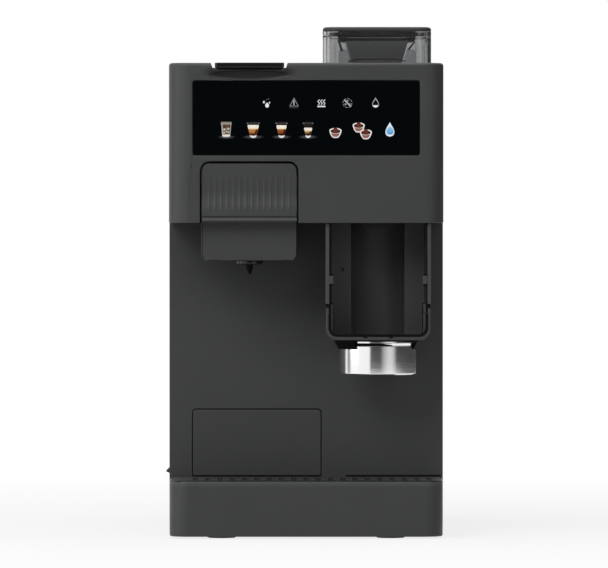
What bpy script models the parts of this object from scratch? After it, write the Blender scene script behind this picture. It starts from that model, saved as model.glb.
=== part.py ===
"""Countertop coffee machine that brews from pods and grinds beans, as separate pieces.

Metres, +Z up. The front faces -Y. The origin is on the surface that it stands on, under its middle.
"""
import math

import bmesh
import bpy
from mathutils import Matrix, Vector

# Whole machine
OVERALL_DEPTH = 0.400
BODY_WIDTH = 0.242
HEAD_SIDE_INSET = 0.001
TRAY_SIDE_INSET = 0.0015
HEAD_WIDTH = BODY_WIDTH - 2 * HEAD_SIDE_INSET
TRAY_WIDTH = BODY_WIDTH - 2 * TRAY_SIDE_INSET
HEAD_OVERHANG = 0.100
TANK_ROOM = 0.090
BODY_DEPTH = OVERALL_DEPTH - HEAD_OVERHANG - TANK_ROOM
HEAD_BOTTOM = 0.2758
HEAD_HEIGHT = 0.1398
FRONT_CORNER = 0.017
FRONT_Y = -OVERALL_DEPTH / 2
REAR_Y = OVERALL_DEPTH / 2
PANEL_Y = FRONT_Y + HEAD_OVERHANG
BACK_Y = PANEL_Y + BODY_DEPTH
HEAD_TOP = HEAD_BOTTOM + HEAD_HEIGHT

# Clearances, and how far a cutter runs past a face
FIT = 0.0003
RUNNING = 0.0005
BORE_PLAY = 0.0002
OVERRUN = 0.002
WELD = 0.00001

# Base plate and feet
STAND_HEIGHT = 0.004
BASE_THICKNESS = 0.006
BASE_REAR_INSET = 0.004
BASE_TOP = STAND_HEIGHT + BASE_THICKNESS
FOOT_RADIUS = 0.0138
FOOT_FLAT_RADIUS = 0.0098
FOOT_FLARE = 0.002
FOOT_SIDE_INSET = 0.047
FOOT_SPACING = BODY_WIDTH - 2 * FOOT_SIDE_INSET
FOOT_FRONT_INSET = 0.028
FOOT_REAR_INSET = 0.030

# Lower body panels
PANEL_WALL = 0.003
SIDE_WALL = 0.0025
REAR_WALL = 0.0027

# Head
HEAD_WALL = 0.0035
HEAD_REAR_CORNER = 0.008
HEAD_RIM_ROUND = 0.0025
DECK_DROP = 0.0076
DECK_THICKNESS = 0.003
UNDERSIDE_THICKNESS = 0.003
DECK_Z = HEAD_TOP - DECK_DROP
DECK_UNDER = DECK_Z - DECK_THICKNESS
UNDERSIDE_TOP = HEAD_BOTTOM + UNDERSIDE_THICKNESS

# Display
DISPLAY_SIDE_MARGIN = 0.021
DISPLAY_WIDTH = HEAD_WIDTH - 2 * DISPLAY_SIDE_MARGIN
DISPLAY_HEIGHT = 0.065
DISPLAY_TOP_DROP = 0.0156
DISPLAY_CORNER = 0.002
DISPLAY_THICKNESS = 0.002
BOARD_THICKNESS = 0.0016
BOARD_MARGIN = 0.004

# Pod lid, its bar, and the notch for the bar
POD_PLACE_SHARE = 0.2071
POD_X = -HEAD_WIDTH * POD_PLACE_SHARE
LID_WIDTH = 0.0566
LID_THICKNESS = 0.005
LID_FRONT_INSET = 0.011
LID_LENGTH = 0.1244
LID_CORNER = 0.004
BAR_WIDTH = 0.0574
BAR_HEIGHT = 0.0055
BAR_INSET = 0.0003
BAR_CORNER = 0.0012
NOTCH_TOP_WIDTH = 0.067
NOTCH_BOTTOM_WIDTH = 0.063
NOTCH_DEPTH = 0.006
SCOOP_HALF_WIDTH = 0.037
SCOOP_HALF_HEIGHT = 0.0042
SCOOP_DEPTH = 0.0018
SCOOP_DROP = 0.0111

# Lid hinge
HINGE_PIN_RADIUS = 0.0015
HINGE_BARREL_RADIUS = 0.003
HINGE_RISE = 0.004
HINGE_SETBACK = 0.0046
KNUCKLE_LENGTH = 0.033
EAR_LENGTH = 0.009
EAR_STRIP = 0.002
KNUCKLE_SIDE_PLAY = 0.0005

# Brew chamber, pod holder and injector
CHAMBER_SETBACK = 0.075
CHAMBER_INNER_RADIUS = 0.026
CHAMBER_WALL = 0.003
CHAMBER_FLANGE = 0.009
CHAMBER_FLANGE_THICKNESS = 0.0032
CHAMBER_DEPTH = 0.055
SPIGOT_RADIUS = 0.006
SPIGOT_LENGTH = 0.004
HOLDER_WALL = 0.0015
HOLDER_RIM_DROP = 0.0015
HOLDER_TAPER = 0.0035
HOLDER_HOLE_RADIUS = 0.003
INJECTOR_RADIUS = 0.0215
INJECTOR_DEPTH = 0.008
NEEDLE_RADIUS = 0.0016
NEEDLE_LENGTH = 0.009

# Spout carriage in the front of the head
CARRIAGE_WIDTH_SHARE = 0.35
CARRIAGE_WIDTH = HEAD_WIDTH * CARRIAGE_WIDTH_SHARE
CARRIAGE_GAP = 0.001
CARRIAGE_BOTTOM = 0.2427
CARRIAGE_TOP = 0.3286
CARRIAGE_DEPTH = 0.070
CARRIAGE_TOP_CORNER = 0.0075
CARRIAGE_BOTTOM_CORNER = 0.006
CARRIAGE_WALL = 0.003
LIP_BOTTOM = 0.2770
LIP_SETBACK = 0.016
GRIP_TOP = 0.3175
GRIP_BOTTOM = 0.2855
GRIP_DEPTH = 0.0016
GUIDE_THICKNESS = 0.003
GUIDE_HEIGHT = 0.041
GUIDE_SIDE_INSET = 0.008

# Outlet under the carriage
OUTLET_SETBACK = 0.035
BOSS_RADIUS = 0.0117
BOSS_HEIGHT = 0.0034
BOSS_ROUND = 0.0022
NOZZLE_RADIUS = 0.004
NOZZLE_TIP_RADIUS = 0.0018
NOZZLE_BORE = 0.001
NOZZLE_DROP = 0.0117
NOZZLE_SHOULDER_DROP = 0.0055
CUP_RADIUS = 0.012
CUP_HEIGHT = 0.010
OUTLET_TUBE_RADIUS = 0.0035
OUTLET_TUBE_RISE = 0.004
OUTLET_TUBE_ENTRY = 0.0116
TUBE_STRAIGHT_SHARE = 0.30
TUBE_BEND_RUN_SHARE = 0.18
TUBE_BEND_DROP_SHARE = 0.20
TUBE_MIDDLE_SHARE = 0.50
TUBE_TURN_SHARE = 0.82

# Bean hopper
HOPPER_PLACE_SHARE = 0.26
HOPPER_WIDTH_SHARE = 0.3975
HOPPER_X = HEAD_WIDTH * HOPPER_PLACE_SHARE
HOPPER_WIDTH = HEAD_WIDTH * HOPPER_WIDTH_SHARE
HOPPER_LENGTH = 0.155
HOPPER_SETBACK = 0.060
HOPPER_TOP = 0.4394
HOPPER_WALL = 0.0025
HOPPER_CORNER = 0.012
FUNNEL_TOP_WIDTH = 0.0547
FUNNEL_BOTTOM_WIDTH = 0.0400
FUNNEL_TOP_DROP = 0.0036
FUNNEL_MARGIN = 0.010
FUNNEL_THROAT = 0.040
FUNNEL_WALL = 0.002
HOPPER_LID_HEIGHT = 0.0083
HOPPER_LID_ROUND = 0.0022
HOPPER_PLUG_DEPTH = 0.003

# Grinder
GRINDER_SETBACK = 0.138
GRINDER_RADIUS = 0.036
GRINDER_WALL = 0.003
GRINDER_HEIGHT = 0.0597
THROAT_RADIUS = 0.019
UPPER_BURR_HEIGHT = 0.018
UPPER_BURR_HOLE = 0.018
UPPER_BURR_MOUTH = 0.026
BURR_GAP = 0.0008
LOWER_BURR_HEIGHT = 0.016
LOWER_BURR_TOP_RADIUS = 0.008
LOWER_BURR_RADIUS = 0.030
SHAFT_RADIUS = 0.004
SHAFT_END_GAP = 0.002
GEARBOX_RADIUS = 0.030
GEARBOX_HEIGHT = 0.0245
MOTOR_RADIUS = 0.027
CHUTE_WIDTH = 0.026
CHUTE_WALL = 0.002
CHUTE_THROAT = 0.020
CHUTE_MOUTH_DEPTH = 0.030
CHUTE_END_DROP = 0.004
CHUTE_SETBACK = 0.036

# Dosing bay
BAY_PLACE_SHARE = 0.2625
BAY_WIDTH_SHARE = 0.3833
BAY_X = HEAD_WIDTH * BAY_PLACE_SHARE
BAY_WIDTH = HEAD_WIDTH * BAY_WIDTH_SHARE
BAY_FRONT_INSET = 0.005
BAY_ARM = 0.0047
BAY_SEAM_Z = 0.2051
BAY_BOTTOM_Z = 0.1710
BAY_REAR_WALL = 0.003
TAB_REACH = 0.0024
TAB_HEIGHT = 0.007
TAB_DEPTH = 0.008
TAB_Z = 0.226
LINER_INSET = 0.0035
LINER_WALL = 0.003
LINER_CORNER = 0.008
TROUGH_RADIUS = 0.0235
TROUGH_FRONT_SETBACK = 0.060
BAY_SENSOR_RADIUS = 0.002
BAY_SENSOR_DEPTH = 0.003
BAY_SENSOR_OFFSET = 0.0315
BAY_SENSOR_Z = 0.235

# Bail round the lower bay
BAIL_SIDE = 0.0028
BAIL_BAR = 0.0045
BAIL_CORNER = 0.010
BAIL_DEPTH = 0.0078
BAIL_PIVOT_RADIUS = 0.0019
BAIL_LIP_WIDTH = 0.031
BAIL_LIP_REACH = 0.0015
BAIL_SIDE_PLAY = 0.0004

# Dosing cup and the collar that holds it
CUP_SETBACK = 0.050
COLLAR_TOP_RADIUS = 0.0381
COLLAR_BOTTOM_RADIUS = 0.0345
COLLAR_BORE = 0.030
COLLAR_HEIGHT = 0.0060
GROOVE_REACH = 0.0022
GROOVE_HEIGHT = 0.0024
DOSE_CUP_RADIUS = 0.0338
DOSE_CUP_BOTTOM = 0.1420
DOSE_CUP_WALL = 0.0012
DOSE_CUP_FLOOR = 0.002
DOSE_CUP_ROUND = 0.003
NECK_WALL = 0.0018
LUG_WIDTH = 0.012
LUG_COUNT = 3
LUG_TWIST = math.radians(35)

# Drip tray and grille
TRAY_BOTTOM = 0.0018
TRAY_TOP = 0.0502
TRAY_WALL = 0.0025
TRAY_FLOOR = 0.0027
TRAY_RIM = 0.0015
TRAY_LEDGE = 0.003
TRAY_REAR_GAP = 0.0004
TRAY_REAR_CORNER = 0.002
TRAY_RIM_ROUND = 0.0010
GRILLE_THICKNESS = 0.003
GRILLE_RISE = 0.0004
SLOT_WIDTH = 0.0044
SLOT_PITCH = 0.0108
SLOT_END_MARGIN = 0.009
SLOTS_LEFT_MARGIN = 0.020
SLOTS_RIGHT_MARGIN = 0.008

# Catch on the left side
CATCH_BOTTOM = 0.0534
CATCH_HEIGHT = 0.0053
CATCH_TIP_RISE = 0.0016
CATCH_REACH = 0.0034
CATCH_DEPTH = 0.009
CATCH_LENGTH = 0.024
CATCH_SETBACK = 0.010

# Used-pod drawer
DOOR_SIDE_INSET = 0.0208
DOOR_WIDTH_SHARE = 0.4678
DOOR_LEFT = DOOR_SIDE_INSET - BODY_WIDTH / 2
DOOR_RIGHT = DOOR_LEFT + BODY_WIDTH * DOOR_WIDTH_SHARE
DOOR_BOTTOM = 0.0518
DOOR_TOP = 0.1102
DOOR_GAP = 0.0007
DOOR_CORNER = 0.003
DOOR_THICKNESS = 0.0027
DRAWER_SIDE_INSET = 0.0042
DRAWER_LIFT = 0.0022
DRAWER_TOP_DROP = 0.0042
DRAWER_REAR_ROOM = 0.055
DRAWER_LENGTH = BODY_DEPTH - DRAWER_REAR_ROOM
DRAWER_WALL = 0.002
SHELF_THICKNESS = 0.0025
SHELF_LEG = 0.002
SHELF_OUTSET = 0.002

# Water tank behind the body
CRADLE_HEIGHT = 0.052
CRADLE_WALL = 0.003
CRADLE_REAR_INSET = 0.003
CRADLE_CORNER = 0.006
TANK_SIDE_INSET = 0.006
TANK_FRONT_GAP = 0.002
TANK_TOP = 0.4020
TANK_WALL = 0.0022
TANK_FLOOR = 0.003
TANK_CORNER = 0.010
TANK_LID_THICKNESS = 0.003
TANK_HINGE_RISE = 0.0035
TANK_HINGE_RADIUS = 0.0029
TANK_HINGE_STUD = 0.0013
TANK_KNUCKLE_LENGTH = 0.050
TANK_EAR_LENGTH = 0.006
TANK_STUD_LENGTH = 0.004
TANK_EAR_DROP = 0.004
TANK_OUTLET_RADIUS = 0.0045
TANK_OUTLET_BORE = 0.0022
TANK_OUTLET_FLANGE = 0.008
TANK_OUTLET_FLANGE_THICKNESS = 0.0022
TANK_OUTLET_DROP = 0.010
TANK_SOCKET_RADIUS = 0.009
TANK_SOCKET_DEPTH = 0.018
TANK_SOCKET_FLOOR = 0.002
TANK_OUTLET_X = -0.030

# Mains inlet and switch on the rear of the cradle
INLET_SIDE_INSET = 0.036
INLET_TO_SWITCH = 0.040
INLET_X = BODY_WIDTH / 2 - INLET_SIDE_INSET
SWITCH_X = INLET_X - INLET_TO_SWITCH
INLET_WIDTH = 0.028
INLET_HEIGHT = 0.020
INLET_FLANGE = 0.0025
INLET_DEPTH = 0.022
INLET_WALL = 0.003
INLET_SOCKET_DEPTH = 0.016
INLET_PIN_WIDTH = 0.002
INLET_PIN_HEIGHT = 0.005
INLET_PIN_LENGTH = 0.009
INLET_PIN_SPACING = 0.007
SWITCH_WIDTH = 0.022
SWITCH_HEIGHT = 0.020
SWITCH_WALL = 0.002
SWITCH_DEPTH = 0.016
ROCKER_RADIUS = 0.0074
ROCKER_DEPTH = 0.0062
ROCKER_DISH = 0.0010
ROCKER_TILT = math.radians(8)
ROCKER_FACE_SHARE = 0.72

# Pump, thermoblock, control board and hoses in the body
PUMP_SIDE_INSET = 0.051
PUMP_X = BODY_WIDTH / 2 - PUMP_SIDE_INSET
PUMP_LENGTH = 0.075
PUMP_RADIUS = 0.020
PUMP_NOSE_RADIUS = 0.006
PUMP_NOSE_LENGTH = 0.012
PUMP_FOOT_WIDTH = 0.030
PUMP_FOOT_HEIGHT = 0.006
PUMP_BACK_GAP = 0.020
BRACKET_SPAN_MARGIN = 0.0075
BRACKET_SHEET = 0.002
BRACKET_LENGTH = 0.080
BRACKET_TOP = 0.150
THERMOBLOCK_WIDTH = 0.090
THERMOBLOCK_LENGTH = 0.070
THERMOBLOCK_HEIGHT = 0.055
THERMOBLOCK_ROUND = 0.006
CONTROL_BOARD_LENGTH = 0.120
CONTROL_BOARD_HEIGHT = 0.150
CONTROL_BOARD_Z = 0.080
HOSE_RADIUS = 0.003
HOSE_HOLE_PLAY = 0.001
HOSE_STUB = 0.008

# Facets
ROUND_STEPS = 24
SMALL_STEPS = 14
CORNER_STEPS = 5
HOSE_SAMPLES = 4
ROUND_PROFILE_SHARE = 0.5
SMOOTH_ANGLE = math.radians(35)

PARTS = "pod_coffee_machine"
CUTTERS = "cutters"


def empty_scene():
    for thing in list(bpy.data.objects):
        bpy.data.objects.remove(thing, do_unlink=True)
    for name in (PARTS, CUTTERS):
        old = bpy.data.collections.get(name)
        if old is not None:
            bpy.data.collections.remove(old)
        bpy.context.scene.collection.children.link(bpy.data.collections.new(name))


def finish_look(name, colour, roughness, metallic=0.0, alpha=1.0):
    """A material with one Principled BSDF."""
    look = bpy.data.materials.new(name)
    look.use_nodes = True
    shader = look.node_tree.nodes["Principled BSDF"]
    shader.inputs["Base Color"].default_value = (*colour, 1.0)
    shader.inputs["Roughness"].default_value = roughness
    shader.inputs["Metallic"].default_value = metallic
    shader.inputs["Alpha"].default_value = alpha
    look.diffuse_color = (*colour, alpha)
    return look


# Shapes

def add_object(name, data, look):
    """Links a piece to the parts, or a cutter (no look) to the cutters."""
    thing = bpy.data.objects.new(name, data)
    if look is None:
        bpy.data.collections[CUTTERS].objects.link(thing)
        thing.hide_render = True
        thing.display_type = "WIRE"
        return thing
    bpy.data.collections[PARTS].objects.link(thing)
    data.materials.append(LOOKS[look].copy())
    return thing


def add_mesh(name, shape, look):
    mesh = bpy.data.meshes.new(name)
    shape.to_mesh(mesh)
    shape.free()
    return add_object(name, mesh, look)


def shade_round(thing):
    thing.data.shade_smooth()
    thing.data.set_sharp_from_angle(angle=SMOOTH_ANGLE)
    return thing


def block(name, low, high, look=None, rounded=(), radius=0.0):
    """A box from its low and high corners, with the edges along the rounded axes (0, 1, 2) rounded."""
    shape = bmesh.new()
    bmesh.ops.create_cube(shape, size=1.0)
    size = [high[i] - low[i] for i in range(3)]
    middle = [(high[i] + low[i]) / 2 for i in range(3)]
    bmesh.ops.transform(shape, matrix=Matrix.Diagonal((*size, 1.0)), verts=shape.verts)
    bmesh.ops.translate(shape, vec=middle, verts=shape.verts)
    if radius:
        edges = [e for e in shape.edges if edge_axis(e) in rounded]
        bevel_edges(shape, edges, radius, CORNER_STEPS)
    return add_mesh(name, shape, look)


def bevel_edges(shape, edges, radius, steps):
    bmesh.ops.bevel(
        shape, geom=edges, offset=radius, segments=steps, profile=ROUND_PROFILE_SHARE, affect="EDGES"
    )


def edge_axis(edge):
    """The axis that a box's edge runs along."""
    way = edge.verts[1].co - edge.verts[0].co
    return max(range(3), key=lambda i: abs(way[i]))


def arc(centre, radius, start, end, steps=CORNER_STEPS):
    """Points on an arc of a plane, from the angle start to end, in quarter turns."""
    turns = [start + (end - start) * i / steps for i in range(steps + 1)]
    return [
        (centre[0] + radius * math.cos(t * math.pi / 2), centre[1] + radius * math.sin(t * math.pi / 2))
        for t in turns
    ]


def rounded_outline(low, high, low_radius, high_radius):
    """A rectangle whose two corners at the low v have one radius and those at the high v the other."""
    points = []
    corners = (
        (low[0], low[1], 1, 1, low_radius, 2),
        (high[0], low[1], -1, 1, low_radius, 3),
        (high[0], high[1], -1, -1, high_radius, 0),
        (low[0], high[1], 1, -1, high_radius, 1),
    )
    for u, v, inward_u, inward_v, radius, quarter in corners:
        if radius:
            points += arc((u + inward_u * radius, v + inward_v * radius), radius, quarter, quarter + 1)
        else:
            points.append((u, v))
    return points


AXIS_TURNS = {
    "X": Matrix(((0, 0, 1), (1, 0, 0), (0, 1, 0))),
    "Y": Matrix(((1, 0, 0), (0, 0, -1), (0, 1, 0))),
    "Z": Matrix.Identity(3),
}


def plate(name, outline, low, high, axis, look=None, holes=()):
    """A flat outline, with its holes, made thick from low to high along an axis.

    Its points are (x, y) along Z, (x, z) along Y and (y, z) along X.
    """
    curve = bpy.data.curves.new(name, "CURVE")
    curve.dimensions = "2D"
    curve.fill_mode = "BOTH"
    curve.extrude = (high - low) / 2
    for loop in (outline, *holes):
        spline = curve.splines.new("POLY")
        spline.points.add(len(loop) - 1)
        spline.use_cyclic_u = True
        for point, (u, v) in zip(spline.points, loop):
            point.co = (u, v, 0.0, 1.0)
    drawn = bpy.data.objects.new(name, curve)
    bpy.context.scene.collection.objects.link(drawn)
    drawn.rotation_euler = AXIS_TURNS[axis].to_euler()
    drawn.location["XYZ".index(axis)] = (high + low) / 2
    return as_mesh(drawn, name, look, flat=not holes)


def as_mesh(drawn, name, look, flat=False):
    """The mesh piece that a curve gives, with its caps welded, in the curve's place."""
    bpy.context.view_layer.update()
    evaluated = drawn.evaluated_get(bpy.context.evaluated_depsgraph_get())
    mesh = bpy.data.meshes.new_from_object(evaluated)
    mesh.transform(drawn.matrix_world)
    shape = bmesh.new()
    shape.from_mesh(mesh)
    bmesh.ops.remove_doubles(shape, verts=shape.verts, dist=WELD)
    if flat:
        bmesh.ops.dissolve_limit(shape, angle_limit=math.radians(0.5), verts=shape.verts, edges=shape.edges)
    bpy.data.meshes.remove(mesh)
    bpy.data.objects.remove(drawn, do_unlink=True)
    return add_mesh(name, shape, look)


def round_rim(thing, height, radius, segments=3):
    """Rounds the edges where a piece's sides meet its flat face at a height."""
    shape = bmesh.new()
    shape.from_mesh(thing.data)
    rim = [
        e for e in shape.edges
        if all(abs(v.co.z - height) < WELD for v in e.verts) and e.calc_face_angle() > math.pi / 4
    ]
    bevel_edges(shape, rim, radius, segments)
    shape.to_mesh(thing.data)
    shape.free()
    return thing


def turned(name, profile, centre, look=None, steps=ROUND_STEPS, ring=False):
    """A profile of (radius, height) turned about a vertical axis.

    It runs down its outer side, and a ring's profile then closes up its inner side.
    """
    mesh = bpy.data.meshes.new(name)
    links = [(i, i + 1) for i in range(len(profile) - 1)]
    if ring:
        links.append((len(profile) - 1, 0))
    mesh.from_pydata([(r, 0.0, h) for r, h in profile], links, [])
    thing = add_object(name, mesh, look)
    thing.location = centre
    screw = thing.modifiers.new("turn", "SCREW")
    screw.angle = math.tau
    screw.steps = screw.render_steps = steps
    screw.use_merge_vertices = True
    screw.merge_threshold = WELD
    screw.use_smooth_shade = True
    return thing


def rod(name, start, end, radius, look=None, steps=SMALL_STEPS):
    """A round bar between two points."""
    start, end = Vector(start), Vector(end)
    shape = bmesh.new()
    bmesh.ops.create_cone(
        shape, cap_ends=True, segments=steps, radius1=radius, radius2=radius, depth=(end - start).length
    )
    turn = (end - start).to_track_quat("Z", "Y").to_matrix().to_4x4()
    place = Matrix.Translation((start + end) / 2) @ turn
    bmesh.ops.transform(shape, matrix=place, verts=shape.verts)
    return add_mesh(name, shape, look)


def hose(name, points, radius, look, samples=HOSE_SAMPLES):
    """A tube along a smooth curve through the points."""
    curve = bpy.data.curves.new(name, "CURVE")
    curve.dimensions = "3D"
    curve.bevel_depth = radius
    curve.bevel_resolution = 2
    curve.use_fill_caps = True
    route = smooth_route([Vector(p) for p in points], samples)
    spline = curve.splines.new("POLY")
    spline.points.add(len(route) - 1)
    for point, place in zip(spline.points, route):
        point.co = (*place, 1.0)
    drawn = bpy.data.objects.new(name, curve)
    bpy.context.scene.collection.objects.link(drawn)
    return shade_round(as_mesh(drawn, name, look))


def smooth_route(points, samples):
    """Catmull-Rom points through a route whose first and last stretches stay straight."""
    route = [points[0]]
    for i in range(1, len(points) - 2):
        before, here, there, after = points[i - 1:i + 3]
        for step in range(samples):
            t = step / samples
            route.append(
                0.5 * (
                    2 * here + (there - before) * t
                    + (2 * before - 5 * here + 4 * there - after) * t ** 2
                    + (3 * here - before - 3 * there + after) * t ** 3
                )
            )
    return [*route, *points[-2:]]


def combine(piece, tool, way):
    change = piece.modifiers.new(way.lower(), "BOOLEAN")
    change.operation = way
    change.solver = "EXACT"
    change.object = tool
    return piece


def cut(piece, *tools):
    for tool in tools:
        combine(piece, tool, "DIFFERENCE")
    return piece


def join(piece, *tools):
    for tool in tools:
        combine(piece, tool, "UNION")
    return piece


def hang_on(name, pivot, *pieces):
    """Hangs the pieces that move together on an empty at their joint."""
    joint = bpy.data.objects.new(name, None)
    bpy.data.collections[PARTS].objects.link(joint)
    joint.location = pivot
    for piece in pieces:
        piece.parent = joint
        piece.location = Vector(piece.location) - Vector(pivot)
    return joint


# Base, feet and body panels

def base_parts():
    front_half = TRAY_WIDTH / 2 - TRAY_WALL - RUNNING
    rear_half = BODY_WIDTH / 2 - SIDE_WALL - FIT
    front = FRONT_Y + TRAY_WALL + RUNNING
    rear = REAR_Y - BASE_REAR_INSET
    corner = FRONT_CORNER - TRAY_WALL
    outline = [
        *arc((-front_half + corner, front + corner), corner, 2, 3),
        *arc((front_half - corner, front + corner), corner, 3, 4),
        (front_half, PANEL_Y),
        (rear_half, PANEL_Y),
        (rear_half, rear),
        (-rear_half, rear),
        (-rear_half, PANEL_Y),
        (-front_half, PANEL_Y),
    ]
    plate("base_plate", outline, STAND_HEIGHT, BASE_TOP, "Z", "dark_plastic")
    top = STAND_HEIGHT - FIT
    profile = [(0, top), (FOOT_RADIUS, top), (FOOT_RADIUS, FOOT_FLARE), (FOOT_FLAT_RADIUS, 0), (0, 0)]
    for end, y in (("front", FRONT_Y + FOOT_FRONT_INSET), ("rear", REAR_Y - FOOT_REAR_INSET)):
        for side, x in (("left", -FOOT_SPACING / 2), ("right", FOOT_SPACING / 2)):
            turned(f"foot_{end}_{side}", profile, (x, y, 0), "rubber", steps=SMALL_STEPS)


def door_outline(grow=0.0):
    """The drawer's door, or the opening in the panel when it grows by the gap."""
    low = (DOOR_LEFT - grow, DOOR_BOTTOM - grow)
    high = (DOOR_RIGHT + grow, DOOR_TOP + grow)
    return rounded_outline(low, high, 0, DOOR_CORNER + grow)


def body_panels():
    half = BODY_WIDTH / 2
    inner = half - SIDE_WALL
    top = HEAD_BOTTOM - FIT
    front_outline = [
        (-half, BASE_TOP + FIT), (half, BASE_TOP + FIT), (half, top), (-half, top),
    ]
    plate(
        "lower_front_panel", front_outline, PANEL_Y, PANEL_Y + PANEL_WALL, "Y", "body_plastic",
        holes=[door_outline(DOOR_GAP)],
    )
    start = PANEL_Y + PANEL_WALL + FIT
    left = block("side_panel_left", (-half, start, STAND_HEIGHT), (-inner, BACK_Y, top), "body_plastic")
    block("side_panel_right", (inner, start, STAND_HEIGHT), (half, BACK_Y, top), "body_plastic")
    catch_y = start + CATCH_SETBACK
    low = (-half - OVERRUN, catch_y - FIT, CATCH_BOTTOM - FIT)
    high = (-inner + OVERRUN, catch_y + CATCH_LENGTH + FIT, CATCH_BOTTOM + CATCH_HEIGHT + FIT)
    cut(left, block("catch_window", low, high))
    rear = block(
        "rear_cover",
        (-inner + FIT, BACK_Y - REAR_WALL, BASE_TOP + FIT),
        (inner - FIT, BACK_Y, top),
        "body_plastic",
    )
    cut(rear, suction_hole("rear_cover_hose_hole"))


def suction_hole(name):
    """The hole that the tank's hose runs through, from the body to the cradle."""
    z = socket_hose_z()
    start = (TANK_OUTLET_X, BACK_Y - REAR_WALL - OVERRUN, z)
    end = (TANK_OUTLET_X, BACK_Y + FIT + CRADLE_WALL + OVERRUN, z)
    return rod(name, start, end, HOSE_RADIUS + HOSE_HOLE_PLAY)


# Head

def head_outline(inset):
    half = HEAD_WIDTH / 2 - inset
    low = (-half, FRONT_Y + inset)
    high = (half, BACK_Y - inset)
    return rounded_outline(low, high, FRONT_CORNER - inset, HEAD_REAR_CORNER - inset)


def chamber_y():
    return FRONT_Y + CHAMBER_SETBACK


def grinder_y():
    return FRONT_Y + GRINDER_SETBACK


def display_corners(margin=0.0):
    top = HEAD_TOP - DISPLAY_TOP_DROP + margin
    low = (-DISPLAY_WIDTH / 2 - margin, top - DISPLAY_HEIGHT - 2 * margin)
    return low, (DISPLAY_WIDTH / 2 + margin, top)


def carriage_outline(grow, bottom_z, bottom_radius):
    """The carriage seen from the front, or its slot when it grows by the gap."""
    low = (POD_X - CARRIAGE_WIDTH / 2 - grow, bottom_z)
    high = (POD_X + CARRIAGE_WIDTH / 2 + grow, CARRIAGE_TOP + grow)
    return rounded_outline(low, high, bottom_radius, CARRIAGE_TOP_CORNER + grow)


def head_parts():
    housing = plate("upper_housing", head_outline(0), HEAD_BOTTOM, HEAD_TOP, "Z", "body_plastic")
    round_rim(housing, HEAD_TOP, HEAD_RIM_ROUND)
    inside = head_outline(HEAD_WALL)
    front_cut = (FRONT_Y - OVERRUN, FRONT_Y + HEAD_WALL + OVERRUN)
    notch_low = HEAD_TOP - NOTCH_DEPTH
    flare = (NOTCH_TOP_WIDTH - NOTCH_BOTTOM_WIDTH) / 2 * OVERRUN / NOTCH_DEPTH
    notch = [
        (POD_X - NOTCH_BOTTOM_WIDTH / 2, notch_low),
        (POD_X + NOTCH_BOTTOM_WIDTH / 2, notch_low),
        (POD_X + NOTCH_TOP_WIDTH / 2 + flare, HEAD_TOP + OVERRUN),
        (POD_X - NOTCH_TOP_WIDTH / 2 - flare, HEAD_TOP + OVERRUN),
    ]
    low, high = display_corners(FIT)
    screen = rounded_outline(low, high, DISPLAY_CORNER + FIT, DISPLAY_CORNER + FIT)
    cut(
        housing,
        plate("head_hollow", inside, HEAD_BOTTOM - OVERRUN, DECK_UNDER, "Z"),
        plate("deck_recess", inside, DECK_Z, HEAD_TOP + OVERRUN, "Z"),
        plate("bar_notch", notch, *front_cut, "Y"),
        plate("display_recess", screen, FRONT_Y - OVERRUN, FRONT_Y + DISPLAY_THICKNESS + FIT, "Y"),
        plate("carriage_slot", carriage_outline(CARRIAGE_GAP, HEAD_BOTTOM - OVERRUN, 0), *front_cut, "Y"),
        deck_hole("pod_mouth", POD_X, chamber_y(), CHAMBER_INNER_RADIUS + FIT),
        deck_hole("bean_throat", HOPPER_X, grinder_y(), THROAT_RADIUS),
        finger_scoop(),
    )
    head_underside()
    low, high = display_corners()
    glass = rounded_outline(low, high, DISPLAY_CORNER, DISPLAY_CORNER)
    plate("display_glass", glass, FRONT_Y, FRONT_Y + DISPLAY_THICKNESS, "Y", "black_glass")
    board_y = FRONT_Y + HEAD_WALL + FIT
    block(
        "display_board",
        (low[0] + BOARD_MARGIN, board_y, low[1] + BOARD_MARGIN),
        (high[0] - BOARD_MARGIN, board_y + BOARD_THICKNESS, high[1] - BOARD_MARGIN),
        "circuit_board",
    )


def deck_hole(name, x, y, radius):
    return rod(name, (x, y, DECK_UNDER - OVERRUN), (x, y, DECK_Z + OVERRUN), radius, steps=ROUND_STEPS)


def finger_scoop():
    """The shallow hollow in the front face, under the lid's bar."""
    shape = bmesh.new()
    bmesh.ops.create_uvsphere(shape, u_segments=SMALL_STEPS, v_segments=SMALL_STEPS // 2, radius=1.0)
    reach = Matrix.Diagonal((SCOOP_HALF_WIDTH, SCOOP_DEPTH, SCOOP_HALF_HEIGHT, 1.0))
    place = Matrix.Translation((POD_X, FRONT_Y, HEAD_TOP - SCOOP_DROP))
    bmesh.ops.transform(shape, matrix=place @ reach, verts=shape.verts)
    return add_mesh("finger_scoop", shape, None)


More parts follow.
